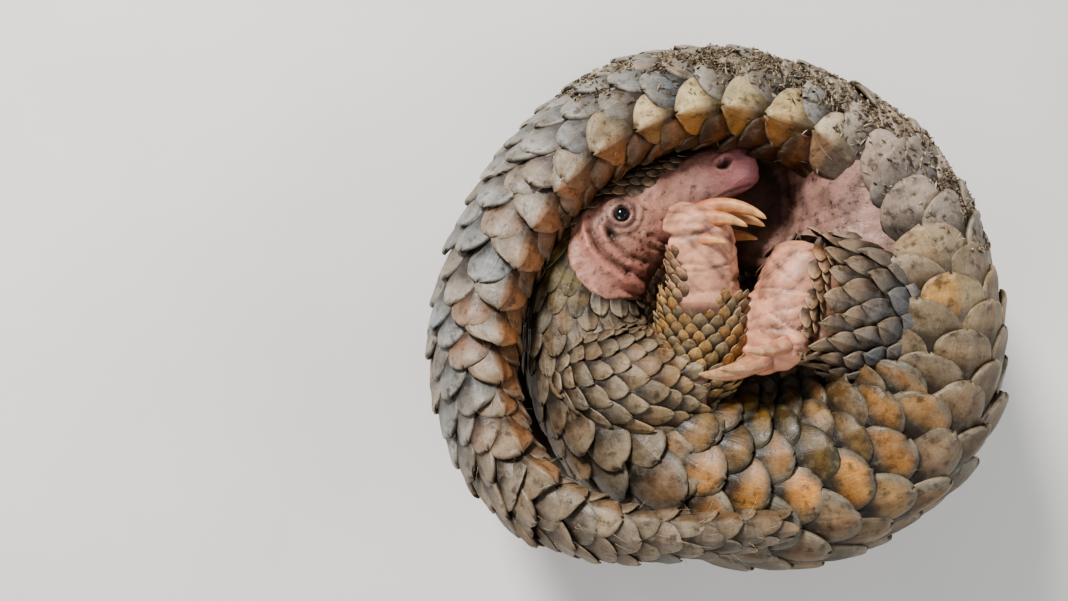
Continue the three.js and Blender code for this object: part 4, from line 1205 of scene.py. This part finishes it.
for k in range(LITTER["count"]):
    if thick_here[k] < rng.uniform(-0.2, 0.6):
        continue
    spot, _, _, distance = litter_bvh.ray_cast(Vector(origins[k]), Vector(-normals[k]), LITTER["reach"])
    if spot is None:
        continue
    if LITTER["height"] - distance > rng.uniform(1.0, 5.8):
        continue
    spot = np.array(spot)
    way = unit(rng.normal(size=3) + 0.6 * sections(litter_s[k])[1])
    way = unit(way - normals[k] * way.dot(normals[k]) * 0.7)
    across = unit(np.cross(way, normals[k]))
    long = rng.uniform(0.7, 2.6)
    wide = rng.uniform(0.25, 0.8)
    rise = normals[k] * rng.uniform(0.3, 1.3)
    tip_a = spot + way * long + rise * rng.uniform(0.2, 1.2)
    tip_b = spot - way * long + rise * rng.uniform(0.2, 1.2)
    corners = [tip_a, spot + across * wide, tip_b, spot - across * wide, spot + rise, spot - rise * 0.5]
    parts.append((np.array(corners), SLIVER))
    tone = LITTER_TONES[rng.choice(4, p=LITTER_SHARES)]
    tints.append(np.tile(srgb(*tone) * rng.uniform(0.75, 1.2), (6, 1)))
    kept.append(k)
litter = mesh_object("litter", *joined(parts), smooth_shade=False)
paint_tint(litter, np.concatenate(tints))
patch_uv(litter, litter_s[kept], litter_share[kept], 6)

# Sparse pale hairs that grow between the scales.
HAIR_COUNT, HAIR_THICK = 520, 0.11
hair_s, hair_share = [], []
for _ in range(HAIR_COUNT):
    hair_s.append(rng.uniform(place_of("neck"), TOTAL - 12))
    hair_share.append(rng.choice([-1, 1]) * rng.uniform(0.02, 0.38))
parts = []
for s, share in zip(hair_s, hair_share):
    start = body_point(s, share, 1.5)
    out = unit(body_point(s, share, 4.0) - body_point(s, share, 0.0))
    way = sections(s)[1]
    bend = rng.normal(size=3) * 0.35
    long = rng.uniform(5, 10)
    points = []
    for a in np.linspace(0, 1, 5):
        c = start + (out * 0.62 + way * 0.6 + bend * a) * long * a + way * long * 0.3 * a**2
        points.append((c, HAIR_THICK * (1.05 - a), HAIR_THICK * (1.05 - a)))
    parts.append(tube(rod(points, unit(np.cross(way, out)), 3)))
hairs = mesh_object("hairs", *joined(parts))
patch_uv(hairs, np.array(hair_s), np.array(hair_share), 3)


# A material as a chain of nodes that ends at its shader.
class Surface:
    def __init__(self, name):
        self.material = bpy.data.materials.new(name)
        self.material.use_nodes = True
        self.tree = self.material.node_tree
        self.place = self.node("ShaderNodeTexCoord").outputs["Object"]
        self.normal = None

    # Puts a plain value in a socket, or links another node's output to it.
    def fill(self, socket, value):
        if isinstance(value, bpy.types.NodeSocket):
            self.tree.links.new(value, socket)
        else:
            socket.default_value = value

    def node(self, kind, **inputs):
        node = self.tree.nodes.new(kind)
        for name, value in inputs.items():
            self.fill(node.inputs[name], value)
        return node

    def attribute(self, name, output="Color"):
        node = self.node("ShaderNodeAttribute")
        node.attribute_name = name
        return node.outputs[output]

    def noise(self, vector, scale, detail, rough, output="Fac"):
        node = self.node("ShaderNodeTexNoise", Vector=vector, Scale=scale, Detail=detail, Roughness=rough)
        return node.outputs[output]

    # Distance to the edge between cells.
    def cells(self, scale):
        node = self.node("ShaderNodeTexVoronoi", Vector=self.place, Scale=scale)
        node.feature = "DISTANCE_TO_EDGE"
        return node.outputs["Distance"]

    # Colours over a value, as stops of a place and a colour or a grey.
    def tones(self, value, *stops):
        node = self.node("ShaderNodeValToRGB", Fac=value)
        elements = node.color_ramp.elements
        elements[1].position = stops[-1][0]
        for k, (position, colour) in enumerate(stops):
            element = elements.new(position) if 0 < k < len(stops) - 1 else elements[-1 if k else 0]
            element.position = position
            element.color = (*(colour if isinstance(colour, tuple) else (colour,) * 3), 1)
        return node.outputs["Color"]

    def mix(self, mode, factor, a, b):
        node = self.node("ShaderNodeMix")
        node.data_type = "RGBA"
        node.blend_type = mode
        self.fill(node.inputs["Factor"], factor)
        self.fill(node.inputs[6], a)
        self.fill(node.inputs[7], b if isinstance(b, bpy.types.NodeSocket) else (*b, 1))
        return node.outputs[2]

    # Relief on top of what the surface has so far.
    def bump(self, height, strength, distance):
        node = self.node("ShaderNodeBump", Height=height, Strength=strength, Distance=distance)
        if self.normal:
            self.fill(node.inputs["Normal"], self.normal)
        self.normal = node.outputs["Normal"]

    # Gives the shader its colour, its relief and the rest by name.
    def finish(self, colour, values):
        shader = self.tree.nodes["Principled BSDF"]
        self.fill(shader.inputs["Base Color"], colour)
        if self.normal:
            self.fill(shader.inputs["Normal"], self.normal)
        for name, value in values.items():
            self.fill(shader.inputs[name], value)
        return self.material


def scale_material():
    look = Surface("horn_scales")
    grain = look.node("ShaderNodeUVMap")
    grain.uv_map = "grain"
    along = look.node("ShaderNodeMapping", Vector=grain.outputs["UV"], Scale=(9.0, 0.7, 1.0))
    streaks = look.noise(along.outputs["Vector"], 1.9, 4.0, 0.6)
    across = look.node("ShaderNodeMapping", Vector=grain.outputs["UV"], Scale=(0.8, 7.0, 1.0))
    growth = look.noise(across.outputs["Vector"], 1.6, 3.0, 0.5)
    patina = look.noise(look.place, 75.0, 5.0, 0.65)
    blotch = look.noise(look.place, 190.0, 4.0, 0.62)
    speck = look.noise(look.place, 900.0, 3.0, 0.6)
    colour = look.attribute("tint")
    for share, value, *stops in [
            (0.5, streaks, (0.3, (0.58, 0.55, 0.52)), (0.62, (1.12, 1.1, 1.08))),
            (0.85, patina, (0.3, (0.58, 0.53, 0.47)), (0.5, (0.95, 0.93, 0.9)), (0.68, (1.24, 1.26, 1.3))),
            (0.55, growth, (0.35, (0.8, 0.78, 0.75)), (0.65, 1.1))]:
        colour = look.mix("MULTIPLY", share, colour, look.tones(value, *stops))
    # Pale dust on the high places of a noise and dark dirt in its low ones.
    colour = look.mix("MIX", look.tones(blotch, (0.54, 0), (0.7, 0.4)), colour, srgb(138, 126, 108))
    colour = look.mix("MIX", look.tones(blotch, (0.32, 0.75), (0.47, 0)), colour, srgb(58, 45, 34))
    colour = look.mix("MULTIPLY", 0.5, colour, look.tones(speck, (0.35, (0.72, 0.7, 0.68)), (0.6, 1.05)))
    for relief in ((streaks, 0.28, 0.0005), (blotch, 0.5, 0.0009), (growth, 0.25, 0.0005),
                   (speck, 0.35, 0.00022)):
        look.bump(*relief)
    rough = look.tones(blotch, (0.35, 0.36), (0.65, 0.62))
    return look.finish(colour, {"Roughness": rough, "Specular IOR Level": 0.45})


def skin_material():
    look = Surface("bare_skin")
    mottle = look.noise(look.place, 120.0, 5.0, 0.6, "Color")
    fine = look.noise(look.place, 620.0, 4.0, 0.6, "Color")
    speck = look.noise(look.place, 420.0, 3.0, 0.7)
    # The soles are smoother and cleaner than the rest.
    hard = look.tones(look.attribute("sole", "Fac"), (0.2, 1), (0.8, 0.3))
    # Dark specks gather where the dirt and the painted shade lie.
    spread = look.tones(look.attribute("dirt_and_shade", "Fac"), (0.0, 0.1), (0.35, 1))
    tone = look.tones(mottle.node.outputs["Fac"], (0.35, (0.82, 0.74, 0.72)), (0.65, (1.12, 1.08, 1.05)))
    colour = look.mix("MULTIPLY", hard, look.attribute("tint"), tone)
    tone = look.tones(fine.node.outputs["Fac"], (0.35, (0.86, 0.82, 0.8)), (0.6, 1.04))
    colour = look.mix("MULTIPLY", 0.7, colour, tone)
    dusty = look.mix("MULTIPLY", 1.0, look.tones(speck, (0.55, 0), (0.63, 0.85)), spread)
    colour = look.mix("MIX", look.mix("MULTIPLY", 1.0, dusty, hard), colour, srgb(60, 44, 36))
    gaps = look.tones(look.cells(210.0), (0.02, 1), (0.09, 0))
    cracked = look.mix("MULTIPLY", 1.0, gaps, look.attribute("plates"))
    colour = look.mix("MIX", cracked, colour, srgb(50, 38, 30))
    look.bump(look.cells(520.0), 0.3, 0.0004)
    look.bump(look.mix("MULTIPLY", 1.0, fine, hard), 0.5, 0.0006)
    look.bump(look.mix("MULTIPLY", 1.0, mottle, hard), 0.2, 0.0009)
    return look.finish(colour, {"Roughness": 0.5, "Subsurface Weight": 0.12, "Subsurface Scale": 0.004,
                                "Subsurface Radius": (1.0, 0.35, 0.2)})


def claw_material():
    look = Surface("claw_horn")
    noise = look.noise(look.place, 260.0, 4.0, 0.6)
    tone = look.tones(noise, (0.35, (0.7, 0.56, 0.46)), (0.6, (1.06, 1.04, 1.0)))
    look.bump(noise, 0.3, 0.0006)
    look.bump(look.noise(look.place, 1100.0, 3.0, 0.6), 0.2, 0.0002)
    return look.finish(look.mix("MULTIPLY", 0.85, look.attribute("tint"), tone),
                       {"Roughness": 0.5, "Subsurface Weight": 0.1, "Subsurface Scale": 0.003})


# One noise in two tones, over the piece's own tint by a share or alone.
def plain_material(name, noise, stops, tinted, values):
    look = Surface(name)
    colour = look.tones(look.noise(look.place, *noise), *stops)
    if tinted:
        colour = look.mix("MULTIPLY", tinted, look.attribute("tint"), colour)
    return look.finish(colour, values)


FLESH = ["head", "neck", "torso_chest", "torso_waist", "torso_loin", "torso_hip", "torso_rump"]
FLESH += ["tail_%d" % i for i in range(1, 7)]
for _, word in SIDES:
    FLESH += ["ear_" + word, "foreleg_" + word, "forefoot_" + word, "hindleg_" + word, "hindfoot_" + word]
horn = scale_material()
for obj in COAT:
    obj.data.materials.append(horn)
    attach(obj, "root")
skin.data.materials.clear()
skin.data.materials.append(skin_material())
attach(skin, "root")
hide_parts(*FLESH)
claw_horn = claw_material()
for obj in claw_objects:
    obj.data.materials.append(claw_horn)
wet = plain_material("wet_eye", (900.0, 2.0, 0.5), [(0.3, 0.5), (0.7, 1.1)], 0.9,
                     {"Roughness": 0.08, "Coat Weight": 0.3, "Coat Roughness": 0.03})
for obj in eyes:
    obj.data.materials.append(wet)
hair_ends = [(0.3, tuple(srgb(176, 150, 108))), (0.7, tuple(srgb(222, 204, 168)))]
pale_hair = plain_material("pale_hair", (300.0, 2.0, 0.5), hair_ends, 0, {"Roughness": 0.5})
hairs.data.materials.append(pale_hair)
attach(hairs, "root")
litter_ends = [(0.3, (0.6, 0.58, 0.56)), (0.65, 1.1)]
dry = plain_material("dry_litter", (700.0, 3.0, 0.6), litter_ends, 0.9, {"Roughness": 0.85})
litter.data.materials.append(dry)
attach(litter, "root")

# Floor, light and camera.
floor_mesh = bpy.data.meshes.new("floor")
floor_mesh.from_pydata([(-4, -4, 0), (4, -4, 0), (4, 4, 0), (-4, 4, 0)], [], [(0, 1, 2, 3)])
floor_ends = [(0.3, (0.66, 0.65, 0.63)), (0.7, (0.72, 0.71, 0.69))]
pale_floor = plain_material("pale_floor", (6.0, 3.0, 0.5), floor_ends, 0, {"Roughness": 0.85})
floor_mesh.materials.append(pale_floor)
floor = linked("floor", floor_mesh)


# A round lamp that points at the middle of the animal.
def area_light(name, place, size, power, colour):
    data = bpy.data.lights.new(name, "AREA")
    data.shape = "DISK"
    data.size = size
    data.energy = power
    data.color = colour
    lamp = linked(name, data)
    lamp.location = place
    lamp.rotation_euler = (Vector((0, 0, 0.06)) - Vector(place)).to_track_quat("-Z", "Y").to_euler()


area_light("key", (-0.7, 1.15, 1.15), 0.42, 44, (1.0, 0.98, 0.95))
area_light("fill", (1.1, -0.3, 0.95), 1.0, 8, (0.95, 0.97, 1.0))
area_light("rim", (-0.9, -0.9, 0.9), 0.8, 7, (1.0, 0.97, 0.93))
background = bpy.data.worlds.new("studio")
background.use_nodes = True
background.node_tree.nodes["Background"].inputs["Color"].default_value = (0.95, 0.97, 1.0, 1)
background.node_tree.nodes["Background"].inputs["Strength"].default_value = 0.3
bpy.context.scene.world = background
bpy.context.scene.view_settings.look = "AgX - Medium High Contrast"

# The photo's camera looks straight at the curl's right side, from 63 cm above its middle plane.
FOCAL = 1072.0
WIDTH = 1068.0
camera_data = bpy.data.cameras.new("photo_camera")
camera_data.sensor_fit = "HORIZONTAL"
camera_data.sensor_width = 36.0
camera_data.lens = 36.0 * FOCAL / WIDTH
camera_data.clip_start = 0.01
camera_data.clip_end = 20
camera = linked("photo_camera", camera_data)
camera.location = world(np.array([-90.0, 5.0, 628.0]))
bpy.context.scene.camera = camera
